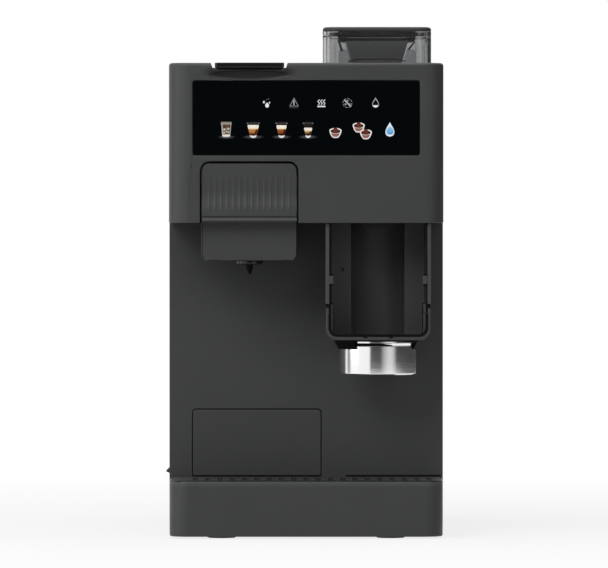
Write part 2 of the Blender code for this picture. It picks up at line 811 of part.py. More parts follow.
def head_underside():
    cover = plate(
        "head_underside", head_outline(HEAD_WALL + FIT), HEAD_BOTTOM, UNDERSIDE_TOP, "Z", "dark_plastic"
    )
    low_z, high_z = HEAD_BOTTOM - OVERRUN, UNDERSIDE_TOP + OVERRUN
    half = CARRIAGE_WIDTH / 2 + CARRIAGE_GAP
    carriage_way = block(
        "carriage_way",
        (POD_X - half, FRONT_Y - OVERRUN, low_z),
        (POD_X + half, FRONT_Y + CARRIAGE_DEPTH + RUNNING, high_z),
    )
    side = CHUTE_WIDTH / 2 + RUNNING
    start = FRONT_Y + CHUTE_SETBACK
    chute_way = block(
        "chute_way",
        (HOPPER_X - side, start - RUNNING, low_z),
        (HOPPER_X + side, start + CHUTE_MOUTH_DEPTH + RUNNING, high_z),
    )
    hose_x, hose_y = brew_hose_foot()
    hose_way = rod(
        "hose_way", (hose_x, hose_y, low_z), (hose_x, hose_y, high_z), HOSE_RADIUS + HOSE_HOLE_PLAY
    )
    cut(cover, carriage_way, chute_way, hose_way)


# Pod lid and brew chamber

def lid_parts():
    bottom = DECK_Z + FIT
    front = FRONT_Y + LID_FRONT_INSET
    rear = front + LID_LENGTH
    half = LID_WIDTH / 2
    axis_y, axis_z = rear + HINGE_SETBACK, DECK_Z + HINGE_RISE
    lid = block(
        "pod_lid", (POD_X - half, front, bottom), (POD_X + half, rear, bottom + LID_THICKNESS),
        "body_plastic", rounded=(2,), radius=LID_CORNER,
    )
    knuckle_half = KNUCKLE_LENGTH / 2
    tongue_top = axis_z + HINGE_PIN_RADIUS
    tongue = block(
        "lid_tongue",
        (POD_X - knuckle_half, rear - OVERRUN, axis_z - HINGE_PIN_RADIUS),
        (POD_X + knuckle_half, axis_y, tongue_top),
    )
    barrel = rod(
        "lid_barrel", (POD_X - knuckle_half, axis_y, axis_z), (POD_X + knuckle_half, axis_y, axis_z),
        HINGE_BARREL_RADIUS,
    )
    ear_outer = knuckle_half + KNUCKLE_SIDE_PLAY + EAR_LENGTH
    bore_start = (POD_X - ear_outer - OVERRUN, axis_y, axis_z)
    bore_end = (POD_X + ear_outer + OVERRUN, axis_y, axis_z)
    bore = rod("lid_hinge_bore", bore_start, bore_end, HINGE_PIN_RADIUS + BORE_PLAY)
    cut(join(lid, tongue, barrel), bore)
    hinge_base(axis_y, axis_z, ear_outer, bore)
    rod(
        "lid_hinge_pin", (POD_X - ear_outer, axis_y, axis_z), (POD_X + ear_outer, axis_y, axis_z),
        HINGE_PIN_RADIUS, "steel",
    )
    bar_half = BAR_WIDTH / 2
    bar = block(
        "pod_lid_bar",
        (POD_X - bar_half, FRONT_Y + BAR_INSET, HEAD_TOP - BAR_HEIGHT),
        (POD_X + bar_half, front - FIT, HEAD_TOP),
        "gloss_black", rounded=(0,), radius=BAR_CORNER,
    )
    under = bottom - FIT
    disc = under - INJECTOR_DEPTH
    profile = [
        (0, under), (INJECTOR_RADIUS, under), (INJECTOR_RADIUS, disc), (NEEDLE_RADIUS, disc),
        (NEEDLE_RADIUS, disc - NEEDLE_LENGTH + NEEDLE_RADIUS), (0, disc - NEEDLE_LENGTH),
    ]
    injector = turned("injector", profile, (POD_X, chamber_y(), 0), "steel")
    hang_on("pod_lid_hinge", (POD_X, axis_y, axis_z), lid, bar, injector)


def hinge_base(axis_y, axis_z, ear_outer, bore):
    """Two ears joined by a strip behind the lid's knuckle."""
    reach = HINGE_BARREL_RADIUS
    base = block(
        "lid_hinge_base",
        (POD_X - ear_outer, axis_y + reach + KNUCKLE_SIDE_PLAY, DECK_Z + FIT),
        (POD_X + ear_outer, axis_y + reach + KNUCKLE_SIDE_PLAY + EAR_STRIP, axis_z + HINGE_PIN_RADIUS),
        "dark_plastic",
    )
    for side in (-1, 1):
        ends = sorted((POD_X + side * ear_outer, POD_X + side * (ear_outer - EAR_LENGTH)))
        ear = block(
            f"hinge_ear_{side}",
            (ends[0], axis_y - reach, DECK_Z + FIT),
            (ends[1], axis_y + reach + KNUCKLE_SIDE_PLAY + EAR_STRIP / 2, axis_z + reach),
        )
        join(base, ear)
    cut(base, bore)


def chamber_parts():
    top = DECK_UNDER - FIT
    outer = CHAMBER_INNER_RADIUS + CHAMBER_WALL
    flange = outer + CHAMBER_FLANGE
    floor_top = top - CHAMBER_DEPTH + CHAMBER_WALL
    floor_under = floor_top - CHAMBER_WALL
    spigot_end = floor_under - SPIGOT_LENGTH
    bore = SPIGOT_RADIUS / 2
    profile = [
        (flange, top), (flange, top - CHAMBER_FLANGE_THICKNESS), (outer, top - CHAMBER_FLANGE_THICKNESS),
        (outer, floor_under), (SPIGOT_RADIUS, floor_under), (SPIGOT_RADIUS, spigot_end), (bore, spigot_end),
        (bore, floor_top), (CHAMBER_INNER_RADIUS, floor_top), (CHAMBER_INNER_RADIUS, top),
    ]
    centre = (POD_X, chamber_y(), 0)
    turned("brew_chamber", profile, centre, "dark_plastic", ring=True)
    holder_top = DECK_Z - HOLDER_RIM_DROP
    holder_outer = CHAMBER_INNER_RADIUS - RUNNING
    foot = floor_top + FIT
    profile = [
        (holder_outer, holder_top), (holder_outer - HOLDER_TAPER, foot), (HOLDER_HOLE_RADIUS, foot),
        (HOLDER_HOLE_RADIUS, foot + HOLDER_WALL),
        (holder_outer - HOLDER_TAPER - HOLDER_WALL, foot + HOLDER_WALL),
        (holder_outer - HOLDER_WALL, holder_top),
    ]
    turned("pod_holder", profile, centre, "gloss_black", ring=True)
    outlet_tube(spigot_end)


def outlet_tube(spigot_end):
    """The fixed tube from the chamber into the cup on the carriage's floor."""
    top = spigot_end - FIT
    back, front = chamber_y(), FRONT_Y + OUTLET_SETBACK
    turn = CARRIAGE_TOP + 2 * OUTLET_TUBE_RADIUS
    low = CARRIAGE_BOTTOM + CARRIAGE_WALL + FIT + CUP_HEIGHT - OUTLET_TUBE_RISE
    run, drop = back - front, top - turn
    points = [
        (POD_X, back, top),
        (POD_X, back, top - TUBE_STRAIGHT_SHARE * drop),
        (POD_X, back - TUBE_BEND_RUN_SHARE * run, turn + TUBE_BEND_DROP_SHARE * drop),
        (POD_X, back - TUBE_MIDDLE_SHARE * run, turn),
        (POD_X, back - TUBE_TURN_SHARE * run, turn - OUTLET_TUBE_RADIUS),
        (POD_X, front, turn - OUTLET_TUBE_ENTRY),
        (POD_X, front, (turn + low) / 2),
        (POD_X, front, low),
    ]
    hose("outlet_tube", points, OUTLET_TUBE_RADIUS, "steel", samples=4)


# Spout carriage

def carriage_profile():
    """The carriage seen from the side, with its grip hollow and the lip that overhangs its lower box."""
    rear = FRONT_Y + CARRIAGE_DEPTH
    grip_half = (GRIP_TOP - GRIP_BOTTOM) / 2
    grip_middle = (GRIP_TOP + GRIP_BOTTOM) / 2
    hollow = [
        (FRONT_Y + GRIP_DEPTH * math.cos(s * math.pi / 2) ** 2, grip_middle + s * grip_half)
        for s in [1 - i / CORNER_STEPS for i in range(2 * CORNER_STEPS + 1)]
    ]
    recessed = FRONT_Y + LIP_SETBACK
    return [
        (rear, CARRIAGE_TOP), (FRONT_Y, CARRIAGE_TOP), *hollow, (FRONT_Y, LIP_BOTTOM),
        (recessed, LIP_BOTTOM), (recessed, CARRIAGE_BOTTOM), (rear, CARRIAGE_BOTTOM),
    ]


def carriage_inside(floor_top):
    """The room inside the carriage, one wall in from its faces, open at the top."""
    back = FRONT_Y + CARRIAGE_DEPTH - CARRIAGE_WALL
    upper = FRONT_Y + GRIP_DEPTH + CARRIAGE_WALL
    lower = FRONT_Y + LIP_SETBACK + CARRIAGE_WALL
    step, top = LIP_BOTTOM + CARRIAGE_WALL, CARRIAGE_TOP + OVERRUN
    return [(back, top), (upper, top), (upper, step), (lower, step), (lower, floor_top), (back, floor_top)]


def carriage_parts():
    half = CARRIAGE_WIDTH / 2
    rear = FRONT_Y + CARRIAGE_DEPTH
    outlet_y = FRONT_Y + OUTLET_SETBACK
    floor_top = CARRIAGE_BOTTOM + CARRIAGE_WALL
    body = plate("spout_carriage", carriage_profile(), POD_X - half, POD_X + half, "X", "body_plastic")
    face = carriage_outline(0, CARRIAGE_BOTTOM, CARRIAGE_BOTTOM_CORNER)
    combine(body, plate("carriage_face", face, FRONT_Y - OVERRUN, rear + OVERRUN, "Y"), "INTERSECT")
    inner = half - CARRIAGE_WALL
    hollow = plate("carriage_hollow", carriage_inside(floor_top), POD_X - inner, POD_X + inner, "X")
    hole = rod(
        "nozzle_hole", (POD_X, outlet_y, CARRIAGE_BOTTOM - OVERRUN), (POD_X, outlet_y, floor_top + OVERRUN),
        NOZZLE_RADIUS + FIT,
    )
    cut(body, hollow, hole)
    centre = (POD_X, outlet_y, 0)
    boss_top = CARRIAGE_BOTTOM - FIT
    boss_low = boss_top - BOSS_HEIGHT
    profile = [
        (BOSS_RADIUS, boss_top), (BOSS_RADIUS, boss_low + BOSS_ROUND), (BOSS_RADIUS - BOSS_ROUND, boss_low),
        (NOZZLE_RADIUS + FIT, boss_low), (NOZZLE_RADIUS + FIT, boss_top),
    ]
    boss = turned("outlet_boss", profile, centre, "body_plastic", ring=True)
    seat = floor_top + FIT
    tip = CARRIAGE_BOTTOM - NOZZLE_DROP
    profile = [
        (CUP_RADIUS, seat + CUP_HEIGHT), (CUP_RADIUS, seat), (NOZZLE_RADIUS, seat),
        (NOZZLE_RADIUS, CARRIAGE_BOTTOM - NOZZLE_SHOULDER_DROP), (NOZZLE_TIP_RADIUS, tip), (NOZZLE_BORE, tip),
        (NOZZLE_BORE, seat + CARRIAGE_WALL / 2), (CUP_RADIUS - CARRIAGE_WALL / 2, seat + CARRIAGE_WALL / 2),
        (CUP_RADIUS - CARRIAGE_WALL / 2, seat + CUP_HEIGHT),
    ]
    nozzle = turned("spout_nozzle", profile, centre, "dark_plastic", ring=True, steps=SMALL_STEPS)
    hang_on("spout_slide", (POD_X, FRONT_Y, CARRIAGE_TOP), body, boss, nozzle)
    guide_y = rear + RUNNING
    block(
        "carriage_guide",
        (POD_X - half + GUIDE_SIDE_INSET, guide_y, UNDERSIDE_TOP + FIT),
        (POD_X + half - GUIDE_SIDE_INSET, guide_y + GUIDE_THICKNESS, UNDERSIDE_TOP + FIT + GUIDE_HEIGHT),
        "dark_plastic",
    )


# Bean hopper

def frustum(name, low, high, look=None):
    """A solid whose level rectangles taper from low to high, each (x0, x1, y0, y1, z)."""
    shape = bmesh.new()
    bmesh.ops.create_cube(shape, size=1.0)
    for vert in shape.verts:
        x0, x1, y0, y1, z = high if vert.co.z > 0 else low
        vert.co = (x1 if vert.co.x > 0 else x0, y1 if vert.co.y > 0 else y0, z)
    return add_mesh(name, shape, look)


def hopper_parts():
    front = FRONT_Y + HOPPER_SETBACK
    rear = front + HOPPER_LENGTH
    half = HOPPER_WIDTH / 2
    bottom = DECK_Z + FIT

    def outline(inset):
        low = (HOPPER_X - half + inset, front + inset)
        high = (HOPPER_X + half - inset, rear - inset)
        return rounded_outline(low, high, HOPPER_CORNER - inset, HOPPER_CORNER - inset)

    body = plate("hopper_body", outline(0), bottom, HOPPER_TOP, "Z", "smoky_clear")
    cut(body, plate("hopper_inside", outline(HOPPER_WALL), bottom - OVERRUN, HOPPER_TOP + OVERRUN, "Z"))
    top = HOPPER_TOP - FUNNEL_TOP_DROP
    throat_front = grinder_y() - FUNNEL_THROAT / 2
    throat_rear = grinder_y() + FUNNEL_THROAT / 2
    margin = HOPPER_WALL + FUNNEL_MARGIN

    def level(inset, z, share):
        """The funnel's rectangle at a share of its height, drawn in by an inset."""
        across = FUNNEL_BOTTOM_WIDTH / 2 * (1 - share) + FUNNEL_TOP_WIDTH / 2 * share - inset
        y0 = throat_front * (1 - share) + (front + margin) * share + inset
        y1 = throat_rear * (1 - share) + (rear - margin) * share - inset
        return HOPPER_X - across, HOPPER_X + across, y0, y1, z

    over_share = OVERRUN / (top - bottom)
    funnel = frustum("hopper_funnel", level(0, bottom, 0), level(0, top, 1), "dark_plastic")
    inside = frustum(
        "funnel_inside",
        level(FUNNEL_WALL, bottom - OVERRUN, -over_share),
        level(FUNNEL_WALL, top + OVERRUN, 1 + over_share),
    )
    cut(funnel, inside)
    lid_bottom = HOPPER_TOP + FIT
    lid_top = lid_bottom + HOPPER_LID_HEIGHT
    lid = plate("hopper_lid", outline(0), lid_bottom, lid_top, "Z", "dark_plastic")
    round_rim(lid, lid_top, HOPPER_LID_ROUND)
    plug = plate(
        "lid_plug", outline(HOPPER_WALL + RUNNING), lid_bottom - HOPPER_PLUG_DEPTH,
        lid_bottom + HOPPER_LID_HEIGHT / 2, "Z",
    )
    join(lid, plug)
    hang_on("hopper_lid_lift", (HOPPER_X, (front + rear) / 2, lid_bottom), lid)


# Grinder

def grinder_parts():
    centre = (HOPPER_X, grinder_y(), 0)
    top = DECK_UNDER - FIT
    floor_under = top - GRINDER_HEIGHT
    floor_top = floor_under + GRINDER_WALL
    inner = GRINDER_RADIUS - GRINDER_WALL
    bore = SHAFT_RADIUS + BORE_PLAY
    profile = [
        (GRINDER_RADIUS, top), (GRINDER_RADIUS, floor_under), (bore, floor_under), (bore, floor_top),
        (inner, floor_top), (inner, top),
    ]
    housing = turned("grinder_housing", profile, centre, "dark_plastic", ring=True)
    port_half = CHUTE_WIDTH / 2 - CHUTE_WALL
    port_top = floor_top + CHUTE_THROAT - CHUTE_WALL
    port = block(
        "grounds_port",
        (HOPPER_X - port_half, grinder_y() - GRINDER_RADIUS - OVERRUN, floor_top),
        (HOPPER_X + port_half, grinder_y() - inner / 2, port_top),
    )
    cut(housing, port)
    burr_low = top - UPPER_BURR_HEIGHT
    profile = [
        (inner - FIT, top), (inner - FIT, burr_low), (UPPER_BURR_MOUTH, burr_low), (UPPER_BURR_HOLE, top),
    ]
    turned("upper_burr", profile, centre, "steel", ring=True)
    cone_low = burr_low - LOWER_BURR_HEIGHT / 2
    cone_top = cone_low + LOWER_BURR_HEIGHT
    slope_radius = UPPER_BURR_MOUTH - BURR_GAP
    motor_bottom = UNDERSIDE_TOP + FIT
    gear_top = floor_under - FIT
    gear_bottom = gear_top - GEARBOX_HEIGHT
    shaft_end = gear_bottom + SHAFT_END_GAP + GRINDER_WALL
    profile = [
        (0, cone_top), (LOWER_BURR_TOP_RADIUS, cone_top), (slope_radius - BURR_GAP, burr_low - BURR_GAP),
        (LOWER_BURR_RADIUS, burr_low - BURR_GAP), (LOWER_BURR_RADIUS, cone_low), (SHAFT_RADIUS, cone_low),
        (SHAFT_RADIUS, shaft_end), (0, shaft_end),
    ]
    burr = turned("lower_burr", profile, centre, "steel")
    hang_on("burr_spin", (HOPPER_X, grinder_y(), cone_low), burr)
    socket = shaft_end - SHAFT_END_GAP
    profile = [
        (0, socket), (bore, socket), (bore, gear_top), (GEARBOX_RADIUS, gear_top),
        (GEARBOX_RADIUS, gear_bottom), (0, gear_bottom),
    ]
    turned("grinder_gearbox", profile, centre, "aluminium")
    motor_top = gear_bottom - FIT
    profile = [(0, motor_top), (MOTOR_RADIUS, motor_top), (MOTOR_RADIUS, motor_bottom), (0, motor_bottom)]
    turned("grinder_motor", profile, centre, "aluminium")
    grounds_chute(floor_top)


def grounds_chute(floor_top):
    """A duct that falls forward from the grinder's port, and opens down into the bay."""
    back = grinder_y() - GRINDER_RADIUS - FIT
    front = FRONT_Y + CHUTE_SETBACK
    mouth_back = front + CHUTE_MOUTH_DEPTH
    end = HEAD_BOTTOM - CHUTE_END_DROP
    knee = UNDERSIDE_TOP + CHUTE_MOUTH_DEPTH
    top = floor_top + CHUTE_THROAT

    def outline(wall, over):
        return [
            (back + over, floor_top - CHUTE_WALL + wall),
            (mouth_back - wall, knee - CHUTE_THROAT / 2),
            (mouth_back - wall, end - over),
            (front + wall, end - over),
            (front + wall, knee + CHUTE_THROAT / 2 - wall),
            (back + over, top - wall),
        ]

    half = CHUTE_WIDTH / 2
    duct = plate("grounds_chute", outline(0, 0), HOPPER_X - half, HOPPER_X + half, "X", "dark_plastic")
    inside = plate(
        "chute_inside", outline(CHUTE_WALL, OVERRUN), HOPPER_X - half + CHUTE_WALL,
        HOPPER_X + half - CHUTE_WALL, "X",
    )
    cut(duct, inside)


# Dosing bay

def bay_frame():
    half = BAY_WIDTH / 2
    front = FRONT_Y + BAY_FRONT_INSET
    rear = PANEL_Y - FIT
    inner = half - BAY_ARM
    outline = [
        (BAY_X - half, front), (BAY_X - inner, front), (BAY_X - inner, rear - BAY_REAR_WALL),
        (BAY_X + inner, rear - BAY_REAR_WALL), (BAY_X + inner, front), (BAY_X + half, front),
        (BAY_X + half, rear), (BAY_X - half, rear),
    ]
    frame = plate("bay_frame", outline, BAY_SEAM_Z, HEAD_BOTTOM - FIT, "Z", "body_plastic")
    for side in (-1, 1):
        ends = sorted((BAY_X + side * (inner + BAY_ARM / 2), BAY_X + side * (inner - TAB_REACH)))
        tab = block(
            f"bay_tab_{side}",
            (ends[0], front + TAB_REACH, TAB_Z - TAB_HEIGHT / 2),
            (ends[1], front + TAB_REACH + TAB_DEPTH, TAB_Z + TAB_HEIGHT / 2),
        )
        join(frame, tab)


def bail_axis():
    """The bail's pivot: y, z, and the radius of its eyes."""
    eye = BAIL_DEPTH / 2
    front = FRONT_Y + BAY_FRONT_INSET
    return front + eye, BAY_SEAM_Z - FIT - eye, eye


def bay_liner():
    """The dark lower trough: two sides and a floor, with ears for the bail and a hole over the cup."""
    outer = BAY_WIDTH / 2 - LINER_INSET
    front = FRONT_Y + BAY_FRONT_INSET + BAIL_DEPTH + FIT
    rear = PANEL_Y - FIT
    low = BAY_BOTTOM_Z + FIT
    top = BAY_SEAM_Z - FIT
    inner = outer - LINER_WALL
    corner = LINER_CORNER - LINER_WALL
    outline = [
        *arc((BAY_X - outer + LINER_CORNER, low + LINER_CORNER), LINER_CORNER, 2, 3),
        *arc((BAY_X + outer - LINER_CORNER, low + LINER_CORNER), LINER_CORNER, 3, 4),
        (BAY_X + outer, top),
        (BAY_X + inner, top),
        *reversed(arc((BAY_X + inner - corner, low + LINER_CORNER), corner, 3, 4)),
        *reversed(arc((BAY_X - inner + corner, low + LINER_CORNER), corner, 2, 3)),
        (BAY_X - inner, top),
        (BAY_X - outer, top),
    ]
    liner = plate("bay_liner", outline, front, rear, "Y", "dark_plastic")
    axis_y, axis_z, eye = bail_axis()
    for side in (-1, 1):
        wall = sorted((BAY_X + side * outer, BAY_X + side * inner))
        ear = block(
            f"bail_ear_{side}", (wall[0], axis_y - eye, axis_z - eye), (wall[1], front + LINER_WALL, top),
        )
        stud_out = BAY_X + side * (outer + BAIL_SIDE_PLAY + BAIL_SIDE)
        stud = rod(
            f"bail_stud_{side}", (BAY_X + side * (inner + LINER_WALL / 2), axis_y, axis_z),
            (stud_out, axis_y, axis_z), BAIL_PIVOT_RADIUS,
        )
        join(liner, ear, stud)
    cup_y = FRONT_Y + CUP_SETBACK
    over_cup = rod(
        "cup_mouth", (BAY_X, cup_y, low - OVERRUN), (BAY_X, cup_y, low + LINER_WALL + OVERRUN),
        COLLAR_BORE - NECK_WALL, steps=ROUND_STEPS,
    )
    cut(liner, over_cup)


def bay_back():
    """The back of the bay: two flats with a round trough between them."""
    inner = BAY_WIDTH / 2 - BAY_ARM - FIT
    front = FRONT_Y + TROUGH_FRONT_SETBACK
    rear = PANEL_Y - FIT - BAY_REAR_WALL - FIT
    steps = 3 * CORNER_STEPS
    outline = [
        (BAY_X - inner, rear), (BAY_X - inner, front),
        *reversed(arc((BAY_X, front), TROUGH_RADIUS, 0, 2, steps)),
        (BAY_X + inner, front), (BAY_X + inner, rear),
    ]
    top = HEAD_BOTTOM - FIT
    back = plate("bay_back", outline, BAY_SEAM_Z, top, "Z", "dark_plastic")
    narrow = BAY_WIDTH / 2 - LINER_INSET - LINER_WALL - FIT
    low = BAY_BOTTOM_Z + FIT + LINER_WALL + FIT
    lower_outline = [
        (BAY_X - narrow, rear), (BAY_X - narrow, front),
        *reversed(arc((BAY_X, front), TROUGH_RADIUS, 0, 2, steps)),
        (BAY_X + narrow, front), (BAY_X + narrow, rear),
    ]
    lower = plate("bay_back_lower", lower_outline, low + LINER_CORNER - LINER_WALL, BAY_SEAM_Z + OVERRUN, "Z")
    sensor_x = BAY_X - BAY_SENSOR_OFFSET
    sensor = rod(
        "sensor_hole", (sensor_x, front - OVERRUN, BAY_SENSOR_Z),
        (sensor_x, front + BAY_SENSOR_DEPTH, BAY_SENSOR_Z), BAY_SENSOR_RADIUS,
    )
    cut(join(back, lower), sensor)


def cup_bail():
    """The U that swings down round the front of the lower bay."""
    axis_y, axis_z, eye = bail_axis()
    outer = BAY_WIDTH / 2 - LINER_INSET + BAIL_SIDE_PLAY + BAIL_SIDE
    inner = outer - BAIL_SIDE
    low = BAY_BOTTOM_Z
    top = axis_z
    corner = BAIL_CORNER - BAIL_SIDE
    outline = [
        *arc((BAY_X - outer + BAIL_CORNER, low + BAIL_CORNER), BAIL_CORNER, 2, 3),
        *arc((BAY_X + outer - BAIL_CORNER, low + BAIL_CORNER), BAIL_CORNER, 3, 4),
        (BAY_X + outer, top),
        (BAY_X + inner, top),
        *reversed(arc((BAY_X + inner - corner, low + BAIL_BAR + corner), corner, 3, 4)),
        *reversed(arc((BAY_X - inner + corner, low + BAIL_BAR + corner), corner, 2, 3)),
        (BAY_X - inner, top),
        (BAY_X - outer, top),
    ]
    bail = plate("cup_bail", outline, axis_y - eye, axis_y + eye, "Y", "body_plastic")
    for side in (-1, 1):
        ends = (BAY_X + side * outer, BAY_X + side * inner)
        round_end = rod(
            f"bail_eye_{side}", (ends[0], axis_y, axis_z), (ends[1], axis_y, axis_z), eye, steps=ROUND_STEPS
        )
        join(bail, round_end)
    lip = block(
        "bail_lip",
        (BAY_X - BAIL_LIP_WIDTH / 2, axis_y - eye - BAIL_LIP_REACH, low),
        (BAY_X + BAIL_LIP_WIDTH / 2, axis_y, low + BAIL_BAR),
    )
    bore = rod(
        "bail_bore", (BAY_X - outer - OVERRUN, axis_y, axis_z), (BAY_X + outer + OVERRUN, axis_y, axis_z),
        BAIL_PIVOT_RADIUS + BORE_PLAY,
    )
    cut(join(bail, lip), bore)
    hang_on("bail_pivot", (BAY_X, axis_y, axis_z), bail)


def cup_parts():
    centre = (BAY_X, FRONT_Y + CUP_SETBACK, 0)
    top = BAY_BOTTOM_Z
    low = top - COLLAR_HEIGHT
    groove_low = low + (COLLAR_HEIGHT - GROOVE_HEIGHT) / 2
    groove_top = groove_low + GROOVE_HEIGHT
    groove = COLLAR_BORE + GROOVE_REACH
    profile = [
        (COLLAR_TOP_RADIUS, top), (COLLAR_BOTTOM_RADIUS, low), (COLLAR_BORE, low), (COLLAR_BORE, groove_low),
        (groove, groove_low), (groove, groove_top), (COLLAR_BORE, groove_top), (COLLAR_BORE, top),
    ]
    collar = turned("cup_collar", profile, centre, "gloss_black", ring=True, steps=2 * ROUND_STEPS)
    shoulder = low - FIT
    neck = COLLAR_BORE - RUNNING
    cup_inner = DOSE_CUP_RADIUS - DOSE_CUP_WALL
    floor_top = DOSE_CUP_BOTTOM + DOSE_CUP_FLOOR
    profile = [
        (0, floor_top), (cup_inner - DOSE_CUP_ROUND, floor_top), (cup_inner, floor_top + DOSE_CUP_ROUND),
        (cup_inner, shoulder - DOSE_CUP_WALL), (neck - NECK_WALL, shoulder - DOSE_CUP_WALL),
        (neck - NECK_WALL, top - FIT), (neck, top - FIT), (neck, shoulder), (DOSE_CUP_RADIUS, shoulder),
        (DOSE_CUP_RADIUS, DOSE_CUP_BOTTOM + DOSE_CUP_ROUND),
        (DOSE_CUP_RADIUS - DOSE_CUP_ROUND, DOSE_CUP_BOTTOM), (0, DOSE_CUP_BOTTOM),
    ]
    cup = turned("dosing_cup", profile, centre, "steel", steps=2 * ROUND_STEPS)
    reach = groove - RUNNING
    for number in range(LUG_COUNT):
        turn = math.tau * number / LUG_COUNT
        lug = block(
            f"cup_lug_{number}",
            (neck - NECK_WALL / 2, -LUG_WIDTH / 2, groove_low + FIT),
            (reach * math.cos(math.asin(LUG_WIDTH / 2 / reach)), LUG_WIDTH / 2, groove_top - FIT),
        )
        lug.location = centre
        lug.rotation_euler = (0, 0, turn)
        join(cup, lug)
        entry = block(
            f"lug_entry_{number}",
            (neck, -LUG_WIDTH / 2 - FIT, low - OVERRUN),
            (reach + FIT, LUG_WIDTH / 2 + FIT, groove_low + FIT),
        )
        entry.location = centre
        entry.rotation_euler = (0, 0, turn + LUG_TWIST)
        cut(collar, entry)
    hang_on("cup_twist", (BAY_X, FRONT_Y + CUP_SETBACK, shoulder), cup)


# Drip tray

def tray_outline(inset):
    half = TRAY_WIDTH / 2 - inset
    low = (-half, FRONT_Y + inset)
    high = (half, PANEL_Y - TRAY_REAR_GAP - inset)
    return rounded_outline(low, high, FRONT_CORNER - inset, max(TRAY_REAR_CORNER - inset, WELD))


def tray_parts():
    tray = plate("drip_tray", tray_outline(0), TRAY_BOTTOM, TRAY_TOP, "Z", "body_plastic")
    round_rim(tray, TRAY_TOP, TRAY_RIM_ROUND)
    seat = BASE_TOP + FIT
    ledge = TRAY_TOP + GRILLE_RISE - GRILLE_THICKNESS - FIT
    half = TRAY_WIDTH / 2 - TRAY_WALL
    over_base = block(
        "over_base_rear",
        (-half, FRONT_Y + HEAD_OVERHANG / 2, TRAY_BOTTOM - OVERRUN), (half, PANEL_Y + OVERRUN, seat),
    )
    cut(
        tray,
        plate("over_base", tray_outline(TRAY_WALL), TRAY_BOTTOM - OVERRUN, seat, "Z"),
        over_base,
        plate("tray_hollow", tray_outline(TRAY_RIM + TRAY_LEDGE), seat + TRAY_FLOOR, TRAY_TOP + OVERRUN, "Z"),
        plate("grille_seat", tray_outline(TRAY_RIM), ledge, TRAY_TOP + OVERRUN, "Z"),
    )
    inset = TRAY_RIM + RUNNING
    left = -TRAY_WIDTH / 2 + SLOTS_LEFT_MARGIN
    right = TRAY_WIDTH / 2 - SLOTS_RIGHT_MARGIN
    front = FRONT_Y + inset + SLOT_END_MARGIN
    rear = PANEL_Y - TRAY_REAR_GAP - inset - SLOT_END_MARGIN
    count = int((right - left - SLOT_WIDTH) / SLOT_PITCH) + 1
    slots = []
    for number in range(count):
        x = left + number * SLOT_PITCH
        slots.append([(x, front), (x + SLOT_WIDTH, front), (x + SLOT_WIDTH, rear), (x, rear)])
    grille = plate(
        "drip_grille", tray_outline(inset), ledge + FIT, ledge + FIT + GRILLE_THICKNESS, "Z", "dark_plastic",
        holes=slots,
    )
    lift = hang_on("grille_lift", (0, (front + rear) / 2, ledge), grille)
    slide = hang_on("tray_slide", (0, FRONT_Y, TRAY_BOTTOM), tray)
    lift.parent = slide
    lift.location = Vector(lift.location) - Vector(slide.location)


def tray_catch():
    """The wedge-shaped button that lets the tray go, in its window in the left panel."""
    out = -BODY_WIDTH / 2
    low = CATCH_BOTTOM
    top = low + CATCH_HEIGHT
    start = PANEL_Y + PANEL_WALL + FIT + CATCH_SETBACK
    outline = [
        (out + CATCH_DEPTH, low), (out + CATCH_DEPTH, top), (out, top),
        (out - CATCH_REACH, low + CATCH_TIP_RISE), (out, low),
    ]
    catch = plate("tray_catch", outline, start, start + CATCH_LENGTH, "Y", "dark_plastic")
    hang_on("catch_press", (out, start + CATCH_LENGTH / 2, low), catch)


# Used-pod drawer

def drawer_parts():
    door_rear = PANEL_Y + DOOR_THICKNESS
    door = plate("drawer_door", door_outline(), PANEL_Y, door_rear, "Y", "body_plastic")
    left, right = DOOR_LEFT + DRAWER_SIDE_INSET, DOOR_RIGHT - DRAWER_SIDE_INSET
    low, top = DOOR_BOTTOM + DRAWER_LIFT, DOOR_TOP - DRAWER_TOP_DROP
    front = door_rear + FIT
    rear = front + DRAWER_LENGTH
    box = block("pod_drawer", (left, front, low), (right, rear, top), "dark_plastic")
    hollow = block(
        "drawer_hollow", (left + DRAWER_WALL, front + DRAWER_WALL, low + DRAWER_WALL),
        (right - DRAWER_WALL, rear - DRAWER_WALL, top + OVERRUN),
    )
    cut(box, hollow)
    hang_on("drawer_slide", ((left + right) / 2, PANEL_Y, low), door, box)
    shelf_top = low - FIT
    out_left, out_right = left - SHELF_OUTSET, right + SHELF_OUTSET
    foot = BASE_TOP + FIT
    under = shelf_top - SHELF_THICKNESS
    outline = [
        (out_left, foot), (out_left + SHELF_LEG, foot), (out_left + SHELF_LEG, under),
        (out_right - SHELF_LEG, under), (out_right - SHELF_LEG, foot), (out_right, foot),
        (out_right, shelf_top), (out_left, shelf_top),
    ]
    plate("drawer_shelf", outline, PANEL_Y + PANEL_WALL + FIT, rear, "Y", "dark_plastic")


# Water tank

def cradle_top():
    return BASE_TOP + FIT + CRADLE_HEIGHT


def tank_rear():
    return REAR_Y - CRADLE_REAR_INSET


def outlet_y():
    return (BACK_Y + tank_rear()) / 2


def socket_hose_z():
    return cradle_top() - CRADLE_WALL - TANK_SOCKET_DEPTH / 2


